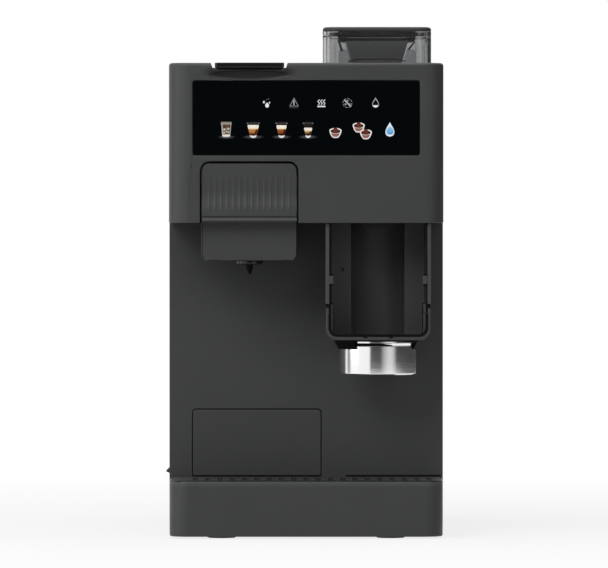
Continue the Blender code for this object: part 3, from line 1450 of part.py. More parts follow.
def cradle_parts():
    half = BODY_WIDTH / 2 - SIDE_WALL - FIT
    front, rear = BACK_Y + FIT, tank_rear()
    low, top = BASE_TOP + FIT, cradle_top()

    def outline(inset):
        return rounded_outline((-half + inset, front + inset), (half - inset, rear - inset), 0,
                               CRADLE_CORNER - inset)

    cradle = plate("tank_cradle", outline(0), low, top, "Z", "body_plastic")
    under = top - CRADLE_WALL
    y = outlet_y()
    boss_low = under - TANK_SOCKET_DEPTH
    boss = rod(
        "socket_boss", (TANK_OUTLET_X, y, boss_low), (TANK_OUTLET_X, y, top - CRADLE_WALL / 2),
        TANK_SOCKET_RADIUS, steps=ROUND_STEPS,
    )
    bore = rod(
        "socket_bore", (TANK_OUTLET_X, y, boss_low + TANK_SOCKET_FLOOR), (TANK_OUTLET_X, y, top + OVERRUN),
        TANK_OUTLET_RADIUS + RUNNING, steps=ROUND_STEPS,
    )
    z = (low + top - CRADLE_WALL) / 2
    inlet_window = block(
        "inlet_window",
        (INLET_X - INLET_WIDTH / 2 - FIT, rear - CRADLE_WALL - OVERRUN, z - INLET_HEIGHT / 2 - FIT),
        (INLET_X + INLET_WIDTH / 2 + FIT, rear + OVERRUN, z + INLET_HEIGHT / 2 + FIT),
    )
    switch_window = block(
        "switch_window",
        (SWITCH_X - SWITCH_WIDTH / 2 - FIT, rear - CRADLE_WALL - OVERRUN, z - SWITCH_HEIGHT / 2 - FIT),
        (SWITCH_X + SWITCH_WIDTH / 2 + FIT, rear + OVERRUN, z + SWITCH_HEIGHT / 2 + FIT),
    )
    cut(cradle, plate("cradle_hollow", outline(CRADLE_WALL), low - OVERRUN, under, "Z"))
    join(cradle, boss)
    cut(cradle, bore, inlet_window, switch_window, suction_hole("cradle_hose_hole"))
    mains_inlet(z, rear)
    power_switch(z, rear)


def mains_inlet(z, rear):
    """A three-pin appliance inlet with a flange on the cradle's rear."""
    half, tall = INLET_WIDTH / 2, INLET_HEIGHT / 2
    mouth = rear + INLET_FLANGE + FIT
    body = block(
        "mains_inlet", (INLET_X - half, mouth - INLET_DEPTH, z - tall), (INLET_X + half, mouth, z + tall),
        "dark_plastic",
    )
    flange = block(
        "inlet_flange", (INLET_X - half - INLET_WALL, rear + FIT, z - tall - INLET_WALL),
        (INLET_X + half + INLET_WALL, mouth, z + tall + INLET_WALL), rounded=(1,), radius=INLET_WALL / 2,
    )
    floor = mouth - INLET_SOCKET_DEPTH
    socket = block(
        "inlet_socket", (INLET_X - half + INLET_WALL, floor, z - tall + INLET_WALL),
        (INLET_X + half - INLET_WALL, mouth + OVERRUN, z + tall - INLET_WALL),
    )
    cut(join(body, flange), socket)
    for number, (x, rise) in enumerate(((-1, -1), (0, 1), (1, -1))):
        pin_x = INLET_X + x * INLET_PIN_SPACING
        pin_z = z + rise * INLET_PIN_HEIGHT / 4
        pin = block(
            f"inlet_pin_{number}",
            (pin_x - INLET_PIN_WIDTH / 2, floor - INLET_WALL / 2, pin_z - INLET_PIN_HEIGHT / 2),
            (pin_x + INLET_PIN_WIDTH / 2, floor + INLET_PIN_LENGTH, pin_z + INLET_PIN_HEIGHT / 2),
        )
        join(body, pin)


def rocker_axis_y(rear):
    return rear - ROCKER_DEPTH / 2


def power_switch(z, rear):
    half, tall = SWITCH_WIDTH / 2, SWITCH_HEIGHT / 2
    frame = block(
        "power_switch", (SWITCH_X - half, rear - SWITCH_DEPTH, z - tall),
        (SWITCH_X + half, rear + SWITCH_WALL / 2, z + tall), "dark_plastic",
    )
    axis_y = rocker_axis_y(rear)
    reach = ROCKER_RADIUS + RUNNING
    well = rod(
        "rocker_well", (SWITCH_X - half + SWITCH_WALL, axis_y, z), (SWITCH_X + half - SWITCH_WALL, axis_y, z),
        reach, steps=ROUND_STEPS,
    )
    mouth = block(
        "rocker_mouth", (SWITCH_X - half + SWITCH_WALL, axis_y, z - reach),
        (SWITCH_X + half - SWITCH_WALL, rear + SWITCH_WALL, z + reach),
    )
    cut(frame, well, mouth)
    side = half - SWITCH_WALL - FIT
    points = arc((axis_y, z), ROCKER_RADIUS, -ROCKER_FACE_SHARE, ROCKER_FACE_SHARE - 4, 3 * CORNER_STEPS)
    face_y = axis_y + ROCKER_DEPTH / 2
    reach = ROCKER_RADIUS * ROCKER_FACE_SHARE
    outline = [*points, (face_y, z + reach), (face_y - ROCKER_DISH, z), (face_y, z - reach)]
    rocker = plate("power_rocker", outline, SWITCH_X - side, SWITCH_X + side, "X", "gloss_black")
    pivot = hang_on("rocker_pivot", (SWITCH_X, axis_y, z), rocker)
    pivot.rotation_euler.x = -ROCKER_TILT


def tank_parts():
    half = BODY_WIDTH / 2 - TANK_SIDE_INSET
    front, rear = BACK_Y + TANK_FRONT_GAP, tank_rear()
    low = cradle_top() + FIT

    def outline(inset):
        corner = TANK_CORNER - inset
        return rounded_outline((-half + inset, front + inset), (half - inset, rear - inset), corner, corner)

    tank = plate("water_tank", outline(0), low, TANK_TOP, "Z", "smoky_clear")
    y = outlet_y()
    hole = rod(
        "outlet_hole", (TANK_OUTLET_X, y, low - OVERRUN), (TANK_OUTLET_X, y, low + TANK_FLOOR + OVERRUN),
        TANK_OUTLET_RADIUS + FIT,
    )
    cut(tank, plate("tank_hollow", outline(TANK_WALL), low + TANK_FLOOR, TANK_TOP + OVERRUN, "Z"), hole)
    axis_y, axis_z = rear - TANK_HINGE_RADIUS, TANK_TOP + TANK_HINGE_RISE
    knuckle = TANK_KNUCKLE_LENGTH / 2
    ear_start = knuckle + KNUCKLE_SIDE_PLAY
    for side in (-1, 1):
        ends = sorted((side * ear_start, side * (ear_start + TANK_EAR_LENGTH)))
        ear = block(
            f"tank_ear_{side}", (ends[0], axis_y - TANK_HINGE_RADIUS, TANK_TOP - TANK_EAR_DROP),
            (ends[1], rear, axis_z + TANK_HINGE_RADIUS),
        )
        join(tank, ear)
    bore_half = ear_start + TANK_STUD_LENGTH + RUNNING
    bore = rod(
        "tank_hinge_bore", (-bore_half, axis_y, axis_z), (bore_half, axis_y, axis_z),
        TANK_HINGE_STUD + BORE_PLAY,
    )
    cut(tank, bore)
    floor_top = low + TANK_FLOOR
    flange_top = floor_top + FIT + TANK_OUTLET_FLANGE_THICKNESS
    foot = low - TANK_OUTLET_DROP
    profile = [
        (TANK_OUTLET_FLANGE, flange_top), (TANK_OUTLET_FLANGE, floor_top + FIT),
        (TANK_OUTLET_RADIUS, floor_top + FIT), (TANK_OUTLET_RADIUS, foot), (TANK_OUTLET_BORE, foot),
        (TANK_OUTLET_BORE, flange_top),
    ]
    outlet = turned("tank_outlet", profile, (TANK_OUTLET_X, y, 0), "rubber", ring=True, steps=SMALL_STEPS)
    lid_half = half
    lid_low = TANK_TOP + FIT
    lid_rear = axis_y
    lid = block(
        "tank_lid", (-lid_half, front, lid_low), (lid_half, lid_rear, lid_low + TANK_LID_THICKNESS),
        "dark_plastic", rounded=(2,), radius=TANK_HINGE_RADIUS,
    )
    tongue = block(
        "tank_tongue", (-knuckle, lid_rear - OVERRUN, axis_z - TANK_HINGE_STUD - BORE_PLAY),
        (knuckle, axis_y, lid_low + TANK_LID_THICKNESS + TANK_HINGE_STUD),
    )
    barrel = rod("tank_barrel", (-knuckle, axis_y, axis_z), (knuckle, axis_y, axis_z), TANK_HINGE_RADIUS)
    stud_half = ear_start + TANK_STUD_LENGTH
    studs = rod("tank_studs", (-stud_half, axis_y, axis_z), (stud_half, axis_y, axis_z), TANK_HINGE_STUD)
    for side in (-1, 1):
        ends = sorted((side * (ear_start - RUNNING), side * (ear_start + TANK_EAR_LENGTH + RUNNING)))
        ear_room = block(
            f"ear_room_{side}", (ends[0], axis_y - 2 * TANK_HINGE_RADIUS, lid_low - OVERRUN),
            (ends[1], axis_y + OVERRUN, lid_low + TANK_LID_THICKNESS + OVERRUN),
        )
        cut(lid, ear_room)
    join(lid, tongue, barrel, studs)
    lift = hang_on("tank_lift", (0, y, low), tank, outlet)
    hinge = hang_on("tank_lid_hinge", (0, axis_y, axis_z), lid)
    hinge.parent = lift
    hinge.location = Vector(hinge.location) - Vector(lift.location)


# Pump, thermoblock, control board and hoses

def pump_y():
    """The pump's rear end."""
    return BACK_Y - REAR_WALL - PUMP_BACK_GAP


def pump_z():
    return BASE_TOP + FIT + PUMP_FOOT_HEIGHT / 2 + PUMP_RADIUS


def brew_hose_foot():
    """Where the hose to the brew chamber stands on the thermoblock."""
    return POD_X, PANEL_Y + PANEL_WALL + THERMOBLOCK_LENGTH / 2


def bracket_span():
    """The left and right outsides of the bracket over the drawer."""
    return DOOR_LEFT - BRACKET_SPAN_MARGIN, DOOR_RIGHT + BRACKET_SPAN_MARGIN


def pump_parts():
    rear = pump_y()
    front = rear - PUMP_LENGTH
    z = pump_z()
    pump = rod("pump", (PUMP_X, front, z), (PUMP_X, rear, z), PUMP_RADIUS, "aluminium", steps=ROUND_STEPS)
    nose = rod(
        "pump_nose", (PUMP_X, front - PUMP_NOSE_LENGTH, z), (PUMP_X, rear + PUMP_NOSE_LENGTH, z),
        PUMP_NOSE_RADIUS,
    )
    foot = block(
        "pump_foot", (PUMP_X - PUMP_FOOT_WIDTH / 2, front + PUMP_NOSE_LENGTH, BASE_TOP + FIT),
        (PUMP_X + PUMP_FOOT_WIDTH / 2, rear - PUMP_NOSE_LENGTH, z),
    )
    join(pump, nose, foot)
    left, right = bracket_span()
    start = PANEL_Y + PANEL_WALL + PUMP_NOSE_LENGTH
    foot_z, under = BASE_TOP + FIT, BRACKET_TOP - BRACKET_SHEET
    outline = [
        (left, foot_z), (left + BRACKET_SHEET, foot_z), (left + BRACKET_SHEET, under),
        (right - BRACKET_SHEET, under), (right - BRACKET_SHEET, foot_z), (right, foot_z),
        (right, BRACKET_TOP), (left, BRACKET_TOP),
    ]
    plate("thermoblock_bracket", outline, start, start + BRACKET_LENGTH, "Y", "steel")
    hose_x, hose_y = brew_hose_foot()
    block_low = BRACKET_TOP + FIT
    block_top = block_low + THERMOBLOCK_HEIGHT
    block(
        "thermoblock",
        (hose_x - THERMOBLOCK_WIDTH / 2, start, block_low),
        (hose_x + THERMOBLOCK_WIDTH / 2, start + THERMOBLOCK_LENGTH, block_top),
        "aluminium", rounded=(0, 1, 2), radius=THERMOBLOCK_ROUND,
    )
    inner = BODY_WIDTH / 2 - SIDE_WALL - FIT
    block(
        "control_board",
        (inner - BOARD_THICKNESS, start, CONTROL_BOARD_Z),
        (inner, start + CONTROL_BOARD_LENGTH, CONTROL_BOARD_Z + CONTROL_BOARD_HEIGHT),
        "circuit_board",
    )
    hoses(block_top, start)


def hoses(block_top, block_front):
    z = pump_z()
    rear_nose = pump_y() + PUMP_NOSE_LENGTH + FIT
    socket_y = outlet_y() - TANK_SOCKET_RADIUS - FIT
    socket_z = socket_hose_z()
    hole_y = BACK_Y - REAR_WALL - HOSE_STUB / 2
    hose(
        "suction_hose",
        [
            (TANK_OUTLET_X, socket_y, socket_z),
            (TANK_OUTLET_X, (socket_y + hole_y) / 2, socket_z),
            (TANK_OUTLET_X + HOSE_STUB / 2, hole_y, socket_z),
            ((TANK_OUTLET_X + PUMP_X) / 2, hole_y - HOSE_STUB / 4, (socket_z + z) / 2),
            (PUMP_X - HOSE_STUB, rear_nose + HOSE_STUB / 2, z),
            (PUMP_X, rear_nose + HOSE_STUB / 4, z),
            (PUMP_X, rear_nose, z),
        ],
        HOSE_RADIUS, "rubber",
    )
    front_nose = pump_y() - PUMP_LENGTH - PUMP_NOSE_LENGTH - FIT
    side_x = POD_X + THERMOBLOCK_WIDTH / 2 + FIT
    mid_z = BRACKET_TOP + THERMOBLOCK_HEIGHT / 2
    mid_y = block_front + THERMOBLOCK_LENGTH / 2
    hose(
        "pump_hose",
        [
            (PUMP_X, front_nose, z),
            (PUMP_X, front_nose - HOSE_STUB, z),
            (PUMP_X, front_nose - 2 * HOSE_STUB, z + 2 * HOSE_STUB),
            (PUMP_X, mid_y, (z + mid_z) / 2),
            (PUMP_X - HOSE_STUB, mid_y, mid_z - HOSE_STUB),
            ((PUMP_X + side_x) / 2, mid_y, mid_z),
            (side_x, mid_y, mid_z),
        ],
        HOSE_RADIUS, "rubber",
    )
    foot_x, foot_y = brew_hose_foot()
    wall_y = chamber_y() + CHAMBER_INNER_RADIUS + CHAMBER_WALL + FIT
    chamber_z = DECK_UNDER - CHAMBER_DEPTH / 2
    hose(
        "brew_hose",
        [
            (foot_x, foot_y, block_top + FIT),
            (foot_x, foot_y, HEAD_BOTTOM),
            (foot_x, foot_y, chamber_z - 2 * HOSE_STUB),
            (foot_x, (2 * foot_y + wall_y) / 3, chamber_z - HOSE_STUB / 2),
            (foot_x, wall_y + HOSE_STUB / 2, chamber_z),
            (foot_x, wall_y, chamber_z),
        ],
        HOSE_RADIUS, "steel",
    )


empty_scene()
LOOKS = {
    "body_plastic": finish_look("body_plastic", (0.053, 0.054, 0.054), 0.45),
    "dark_plastic": finish_look("dark_plastic", (0.024, 0.024, 0.025), 0.50),
    "gloss_black": finish_look("gloss_black", (0.008, 0.008, 0.009), 0.12),
    "black_glass": finish_look("black_glass", (0.003, 0.004, 0.005), 0.06),
    "smoky_clear": finish_look("smoky_clear", (0.18, 0.18, 0.19), 0.08, alpha=0.35),
    "rubber": finish_look("rubber", (0.015, 0.015, 0.015), 0.80),
    "steel": finish_look("steel", (0.60, 0.60, 0.61), 0.22, metallic=1.0),
    "aluminium": finish_look("aluminium", (0.50, 0.51, 0.52), 0.35, metallic=1.0),
    "circuit_board": finish_look("circuit_board", (0.02, 0.10, 0.04), 0.55),
}
base_parts()
body_panels()
head_parts()
lid_parts()
chamber_parts()
carriage_parts()
hopper_parts()
grinder_parts()
bay_frame()
bay_liner()
bay_back()
cup_bail()
cup_parts()
tray_parts()
tray_catch()
drawer_parts()
cradle_parts()
tank_parts()
pump_parts()
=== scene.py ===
"""Studio scene of a countertop coffee machine that brews from pods and grinds beans.

Metres, +Z up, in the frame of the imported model. The front faces -Y. Coated and moulded surfaces, clear plastic,
polished steel and the lit pictures of the display are made here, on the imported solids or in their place.
"""
from math import cos, pi, radians, sin, sqrt, tan, tau

import bmesh
import bpy
from mathutils import Matrix, Vector


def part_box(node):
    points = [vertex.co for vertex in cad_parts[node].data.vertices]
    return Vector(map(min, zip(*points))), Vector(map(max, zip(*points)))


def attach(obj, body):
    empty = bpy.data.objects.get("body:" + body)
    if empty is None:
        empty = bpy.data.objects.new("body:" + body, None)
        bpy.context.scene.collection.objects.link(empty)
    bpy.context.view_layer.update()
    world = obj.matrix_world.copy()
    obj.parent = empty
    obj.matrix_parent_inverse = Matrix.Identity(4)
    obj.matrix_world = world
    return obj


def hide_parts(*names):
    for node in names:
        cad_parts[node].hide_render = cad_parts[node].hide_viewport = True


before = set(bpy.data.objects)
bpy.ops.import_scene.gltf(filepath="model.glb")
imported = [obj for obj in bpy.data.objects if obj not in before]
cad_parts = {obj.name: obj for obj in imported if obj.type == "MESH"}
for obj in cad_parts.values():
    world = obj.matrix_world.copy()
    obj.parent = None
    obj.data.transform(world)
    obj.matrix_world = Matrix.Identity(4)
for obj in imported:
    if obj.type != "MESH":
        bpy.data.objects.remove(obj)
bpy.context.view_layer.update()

FRONT_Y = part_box("upper_housing")[0].y
SIDES = ((-1, "left"), (1, "right"))

# The photograph's view: its distance in front of the head, and where its middle meets the front plane
VIEW_X = -0.0019
VIEW_Z = 0.3133
VIEW_DISTANCE = 7.0
VIEW_LENS = 475
VIEW_MIDDLE_Z = 0.2226
PIXEL = 0.000872
MIDDLE_PIXEL = (304, 180)

# Widths of rounded edges, and the turn between two faces above which their edge is rounded
SHELL_EDGE = 0.0006
SOFT_EDGE = 0.0005
FINE_EDGE = 0.0003
BEAD_EDGE = 0.0002
HAIR_EDGE = 0.0001
SMOOTH_LIMIT = radians(32)
SHARP_LIMIT = radians(50)
TURN_STEPS = 96

# Points this near each other are joined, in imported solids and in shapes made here
WELD_REACH = 0.000005
JOIN_REACH = 0.000002


# Materials

class Nodes:
    """A tree of nodes, with short ways to add to it."""

    def __init__(self, tree):
        self.tree = tree

    def node(self, kind, inputs=(), **settings):
        made = self.tree.nodes.new(kind)
        for key, value in settings.items():
            setattr(made, key, value)
        for socket, value in dict(inputs).items():
            self.feed(made.inputs[socket], value)
        return made

    def feed(self, socket, value):
        if isinstance(value, bpy.types.NodeSocket):
            self.tree.links.new(value, socket)
        else:
            socket.default_value = value

    def combine(self, operation, a, b):
        return self.node("ShaderNodeMath", {0: a, 1: b}, operation=operation).outputs[0]

    def vector(self, operation, *values):
        outputs = self.node("ShaderNodeVectorMath", dict(enumerate(values)), operation=operation).outputs
        return outputs["Value" if operation in ("LENGTH", "DOT_PRODUCT") else "Vector"]

    def shown_rays(self):
        """1 for the rays that show the background: the camera's, and those off gloss and through glass."""
        rays = self.node("ShaderNodeLightPath").outputs
        seen = self.combine("MAXIMUM", rays["Is Camera Ray"], rays["Is Glossy Ray"])
        return self.combine("MAXIMUM", seen, rays["Is Transmission Ray"])


class Finish(Nodes):
    """A procedural material in the piece's own metres."""

    def __init__(self, name, **levels):
        self.material = bpy.data.materials.new(name)
        self.material.use_nodes = True
        super().__init__(self.material.node_tree)
        self.shader = self.tree.nodes["Principled BSDF"]
        for socket, value in levels.items():
            self.shader.inputs[socket.replace("_", " ")].default_value = value
        self.place = self.node("ShaderNodeTexCoord").outputs["Object"]

    def stretched(self, scales):
        """The piece's place, scaled along each axis."""
        return self.node("ShaderNodeMapping", {"Vector": self.place, "Scale": scales}).outputs[0]

    def noise(self, scale, detail=2.0, place=None):
        inputs = {"Vector": place or self.place, "Scale": scale, "Detail": detail}
        return self.node("ShaderNodeTexNoise", inputs).outputs[0]

    def spread(self, value, low, high, to_low=0.0, to_high=1.0, **settings):
        inputs = {"Value": value, "From Min": low, "From Max": high, "To Min": to_low, "To Max": to_high}
        return self.node("ShaderNodeMapRange", inputs, **settings).outputs[0]

    def times(self, a, b):
        return self.combine("MULTIPLY", a, b)

    def plus(self, a, b):
        return self.combine("ADD", a, b)

    def blend(self, share, a, b):
        a, b = ((*colour, 1.0) if isinstance(colour, tuple) else colour for colour in (a, b))
        return self.node("ShaderNodeMix", {0: share, 6: a, 7: b}, data_type="RGBA").outputs[2]

    def edges(self, radius):
        """1 on the edges of a piece and 0 on its faces, from how far the surface turns within a radius."""
        bent = self.node("ShaderNodeBevel", {"Radius": radius}, samples=4).outputs[0]
        straight = self.node("ShaderNodeNewGeometry").outputs["Normal"]
        return self.spread(self.vector("DOT_PRODUCT", bent, straight), 0.985, 0.8)

    def paint(self, layer):
        """The colours painted on a piece's points."""
        return self.node("ShaderNodeVertexColor", layer_name=layer).outputs["Color"]

    def bump(self, height, distance):
        return self.node("ShaderNodeBump", {"Height": height, "Distance": distance}).outputs[0]

    def dress(self, colour, roughness=None, normal=None, glow=None):
        for socket, value in (
            ("Base Color", colour), ("Roughness", roughness), ("Normal", normal), ("Emission Color", glow),
        ):
            if value is not None:
                self.feed(self.shader.inputs[socket], value)
        return self.material


def shade(colour, share):
    return tuple(channel * share for channel in colour)


def moulded(
    name, colour, roughness, shine=0.35, grain=0.000012, edge_wear_and_highlight=1.5, polish=0.1, edge=0.0009, bar_shadow=False, rim=0.0,
):
    """Moulded plastic: a fine even grain, a slow drift of shade, and polished edges made lighter, partly as wear and
    partly as painted highlight. It can also paint a highlight band under a rim's height, and the shadow under the lid's
    bar.
    """
    finish = Finish(name, Specular_IOR_Level=shine)
    drift = finish.noise(7, 3)
    grain_height = finish.noise(2400, 2)
    smudge = finish.noise(38, 4)
    # Edges are lightened partly as wear and partly as painted highlight where edges catch the light.
    worn_and_lit_edges = finish.times(finish.edges(edge), finish.spread(finish.noise(160, 3), 0.35, 0.65, 0.4, 1.0))
    base = finish.blend(drift, shade(colour, 0.95), shade(colour, 1.05))
    base = finish.blend(finish.spread(grain_height, 0.3, 0.7), base, shade(colour, 1.04))
    base = finish.blend(worn_and_lit_edges, base, shade(colour, edge_wear_and_highlight))
    gloss = finish.spread(smudge, 0.3, 0.7, roughness - 0.035, roughness + 0.035)
    gloss = finish.plus(gloss, finish.times(worn_and_lit_edges, -polish))
    # Painted highlight: a band just under the rim height is lightened, where the tray's rounded top edge catches the
    # light.
    if rim:
        height = finish.node("ShaderNodeSeparateXYZ", {0: finish.place}).outputs["Z"]
        base = finish.blend(finish.spread(height, rim - 0.0052, rim - 0.0014), base, shade(colour, 1.75))
    # Painted shadow: under the lid's bar the colour is darkened and the shine lowered, as the shadow that the bar
    # casts.
    if bar_shadow:
        cover = painted_bar_shadow(finish)
        base = finish.blend(cover, base, BAR_SHADOW_GREY)
        finish.feed(finish.shader.inputs["Specular IOR Level"], finish.spread(cover, 0.0, 1.0, shine, 0.1))
    return finish.dress(base, gloss, finish.bump(grain_height, grain))


def painted_bar_shadow(finish):
    """1 where a painted shadow under the lid's bar darkens the head's finger hollow, and 0 away from it."""
    bar_low, bar_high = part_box("pod_lid_bar")
    drop, scales, outside, inside = 0.0024, (27, 70, 145), 1.22, 0.8
    middle = ((bar_low.x + bar_high.x) / 2, FRONT_Y, bar_low.z - drop)
    reach = finish.vector("MULTIPLY", finish.vector("SUBTRACT", finish.place, middle), scales)
    return finish.spread(finish.vector("LENGTH", reach), outside, inside, interpolation_type="SMOOTHSTEP")


def polished_black(name, colour, roughness, **levels):
    """Gloss black, with faint wipe marks in its gloss."""
    finish = Finish(name, **levels)
    wipes = finish.noise(60, 3, finish.stretched((1.0, 1.0, 5.0)))
    dust = finish.noise(1500, 1)
    base = finish.blend(finish.spread(dust, 0.62, 0.8), colour, shade(colour, 1.8))
    gloss = finish.spread(wipes, 0.3, 0.75, roughness, roughness + 0.05)
    return finish.dress(base, gloss, finish.bump(wipes, 0.000004))


def metal(name, colour, roughness, lines, depth):
    """Steel or aluminium with fine tool lines, scaled along each axis by lines."""
    finish = Finish(name, Metallic=1.0)
    scratch = finish.noise(1.0, 2, finish.stretched(lines))
    cloud = finish.noise(25, 3)
    base = finish.blend(scratch, shade(colour, 0.95), shade(colour, 1.03))
    base = finish.blend(finish.spread(cloud, 0.4, 0.8), base, shade(colour, 0.93))
    gloss = finish.spread(scratch, 0.3, 0.7, roughness - 0.03, roughness + 0.04)
    return finish.dress(base, finish.plus(gloss, finish.times(cloud, 0.03)), finish.bump(scratch, depth))


def clear_smoke(name, colour, roughness):
    """Clear tinted plastic with faint flow marks."""
    finish = Finish(name, Transmission_Weight=1.0, IOR=1.46)
    flow = finish.noise(55, 3)
    haze = finish.noise(500, 2)
    base = finish.blend(finish.spread(flow, 0.3, 0.7), shade(colour, 0.96), colour)
    return finish.dress(base, finish.spread(haze, 0.3, 0.7, roughness, roughness + 0.03), finish.bump(flow, 0.00002))


def rubber_coat(name, colour):
    finish = Finish(name, Specular_IOR_Level=0.3)
    powder = finish.noise(900, 3)
    base = finish.blend(powder, shade(colour, 0.8), shade(colour, 1.3))
    return finish.dress(base, finish.spread(powder, 0.3, 0.7, 0.72, 0.88), finish.bump(powder, 0.00005))


def lacquered_board(name):
    """Green lacquer over copper tracks."""
    finish = Finish(name, Coat_Weight=0.4, Coat_Roughness=0.15)
    cells = finish.node("ShaderNodeTexVoronoi", {"Vector": finish.place, "Scale": 260.0}, distance="MANHATTAN")
    line = finish.spread(cells.outputs["Distance"], 0.46, 0.54)
    base = finish.blend(line, (0.01, 0.085, 0.03), (0.03, 0.16, 0.055))
    return finish.dress(base, finish.spread(finish.noise(400), 0.3, 0.7, 0.32, 0.45), finish.bump(line, 0.00003))


def lit_picture(name):
    """Lit display pictures, whose colours are painted on their points, with the fine grid of the screen."""
    finish = Finish(name, Emission_Strength=1.0)
    dots = finish.noise(5200, 1)
    glow = finish.blend(finish.spread(dots, 0.35, 0.65, 0.0, 0.14), finish.paint("picture"), (0.0, 0.0, 0.0))
    return finish.dress(BLACK, finish.spread(dots, 0.3, 0.7, 0.15, 0.25), glow=glow)


BLACK = (0.0, 0.0, 0.0, 1.0)
BODY_GREY = (0.025, 0.0259, 0.026)
# A lighter copy of the body's grey for the bay's recessed walls, which makes up for the shade that falls in the bay:
# painted light.
BAY_BRIGHTENED_GREY = (0.033, 0.0336, 0.0338)
DEEP_GREY = (0.015, 0.0152, 0.0154)
# The dark grey of the painted shadow under the lid's bar
BAR_SHADOW_GREY = (0.0115, 0.0116, 0.0118)
TURNING_LINES = (60, 60, 3500)
FINISHES = {
    "body_plastic": moulded("satin_grey_plastic", BODY_GREY, 0.48),
    # The head's plastic carries the painted shadow under the lid's bar.
    "head_plastic": moulded("head_grey_plastic", BODY_GREY, 0.48, bar_shadow=True),
    # The tray's edges are lightened far more than wear would, and the band under its top rim is painted lighter: both
    # are painted highlight along the rim.
    "tray_plastic": moulded("tray_grey_plastic", BODY_GREY, 0.46, edge_wear_and_highlight=2.2, polish=0.42, edge=0.0016, rim=0.0502),
    # The bay's walls, lightened as painted light against the shade in the bay.
    "bay_brightened_plastic": moulded("bay_brightened_grey_plastic", BAY_BRIGHTENED_GREY, 0.5),
    "black_trim": moulded("black_trim_plastic", (0.0022, 0.0022, 0.0023), 0.6, 0.06),
    "shadow_plastic": moulded("shadow_grey_plastic", (0.009, 0.0092, 0.0093), 0.6, 0.2),
    "cup_steel": metal("mirror_steel", (0.93, 0.93, 0.93), 0.13, TURNING_LINES, 0.0000012),
    "pale_plastic": moulded("pale_grey_plastic", (0.33, 0.333, 0.33), 0.5, 0.3, edge_wear_and_highlight=1.2),
    # The funnel's grey is made far paler, to make up for the light that the smoky hopper keeps from it: painted light.
    "funnel_brightened_plastic": moulded("funnel_brightened_plastic", (0.76, 0.76, 0.75), 0.5, 0.3, edge_wear_and_highlight=1.2),
    "dark_plastic": moulded("dark_grain_plastic", DEEP_GREY, 0.55, 0.3, grain=0.00002, edge_wear_and_highlight=1.7),
    "gloss_black": polished_black("gloss_black_plastic", (0.006, 0.006, 0.007), 0.14),
    "display_glass": polished_black("display_glass_black", (0.0008, 0.0014, 0.0018), 0.05, Specular_IOR_Level=0.18),
    "smoky_clear": clear_smoke("smoky_clear_plastic", (0.52, 0.525, 0.53), 0.03),
    "clear": clear_smoke("clear_tank_plastic", (0.8, 0.82, 0.84), 0.04),
    "rubber": rubber_coat("black_rubber", (0.018, 0.018, 0.018)),
    "steel": metal("polished_steel", (0.7, 0.7, 0.71), 0.16, TURNING_LINES, 0.0000015),
    "aluminium": metal("cast_aluminium", (0.5, 0.51, 0.52), 0.36, (420, 420, 420), 0.00003),
    "circuit_board": lacquered_board("green_board"),
}
LIT = lit_picture("lit_pictures")


# Pieces

def linked(name, data):
    thing = bpy.data.objects.new(name, data)
    bpy.context.scene.collection.objects.link(thing)
    return thing


def thing_from(name, shape):
    """An object from a bmesh."""
    mesh = bpy.data.meshes.new(name)
    shape.to_mesh(mesh)
    shape.free()
    return linked(name, mesh)


def add(name, shape, body, finish, width=0.0, steps=2, limit=SMOOTH_LIMIT):
    """A new piece from a bmesh, that moves with a body and has a finish. A width rounds its edges."""
    bmesh.ops.recalc_face_normals(shape, faces=shape.faces)
    piece = thing_from(name, shape)
    piece.data.materials.append(FINISHES[finish])
    for face in piece.data.polygons:
        face.use_smooth = True
    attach(piece, body)
    if width:
        soften(piece, width, steps, limit)
    return piece


def soften(piece, width, steps=2, limit=SMOOTH_LIMIT):
    """Rounds a piece's edges, and shades its flats flat."""
    rounding = piece.modifiers.new("rounded_edges", "BEVEL")
    rounding.width = width
    rounding.segments = steps
    rounding.limit_method = "ANGLE"
    rounding.angle_limit = limit
    rounding.use_clamp_overlap = False
    rounding.miter_outer = "MITER_ARC"
    flats = piece.modifiers.new("flat_faces", "WEIGHTED_NORMAL")
    flats.keep_sharp = True
    flats.weight = 80


def carve(piece, cuts, width, steps=2, limit=SMOOTH_LIMIT):
    """Cuts bmeshes out of a piece, and rounds its edges."""
    cutters = []
    for cut in cuts:
        bmesh.ops.recalc_face_normals(cut, faces=cut.faces)
        change = piece.modifiers.new("cut", "BOOLEAN")
        change.operation = "DIFFERENCE"
        change.solver = "EXACT"
        change.object = thing_from("cutter", cut)
        cutters.append(change.object)
    bpy.context.view_layer.update()
    evaluated = piece.evaluated_get(bpy.context.evaluated_depsgraph_get())
    mesh = bpy.data.meshes.new_from_object(evaluated)
    piece.modifiers.clear()
    piece.data = mesh
    for cutter in cutters:
        bpy.data.objects.remove(cutter, do_unlink=True)
    soften(piece, width, steps, limit)


def recut(name, finish, cuts, width=FINE_EDGE):
    """A fixed solid's own shape with more cut out of it, in place of the solid."""
    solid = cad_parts[name]
    shape = bmesh.new()
    shape.from_mesh(solid.data)
    shape.transform(solid.matrix_world)
    bmesh.ops.remove_doubles(shape, verts=shape.verts, dist=WELD_REACH)
    piece = add(name + "_cut", shape, "machine", finish)
    carve(piece, cuts, width)
    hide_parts(name)


# Shapes

def join_lines(shape, lines, closed=True):
    """Faces between lines of points that follow each other. Closed lines end where they start."""
    for a, b in zip(lines, lines[1:]):
        for i in range(len(a) if closed else len(a) - 1):
            j = (i + 1) % len(a)
            corners = list(dict.fromkeys((a[i], a[j], b[j], b[i])))
            if len(corners) > 2:
                shape.faces.new(corners)


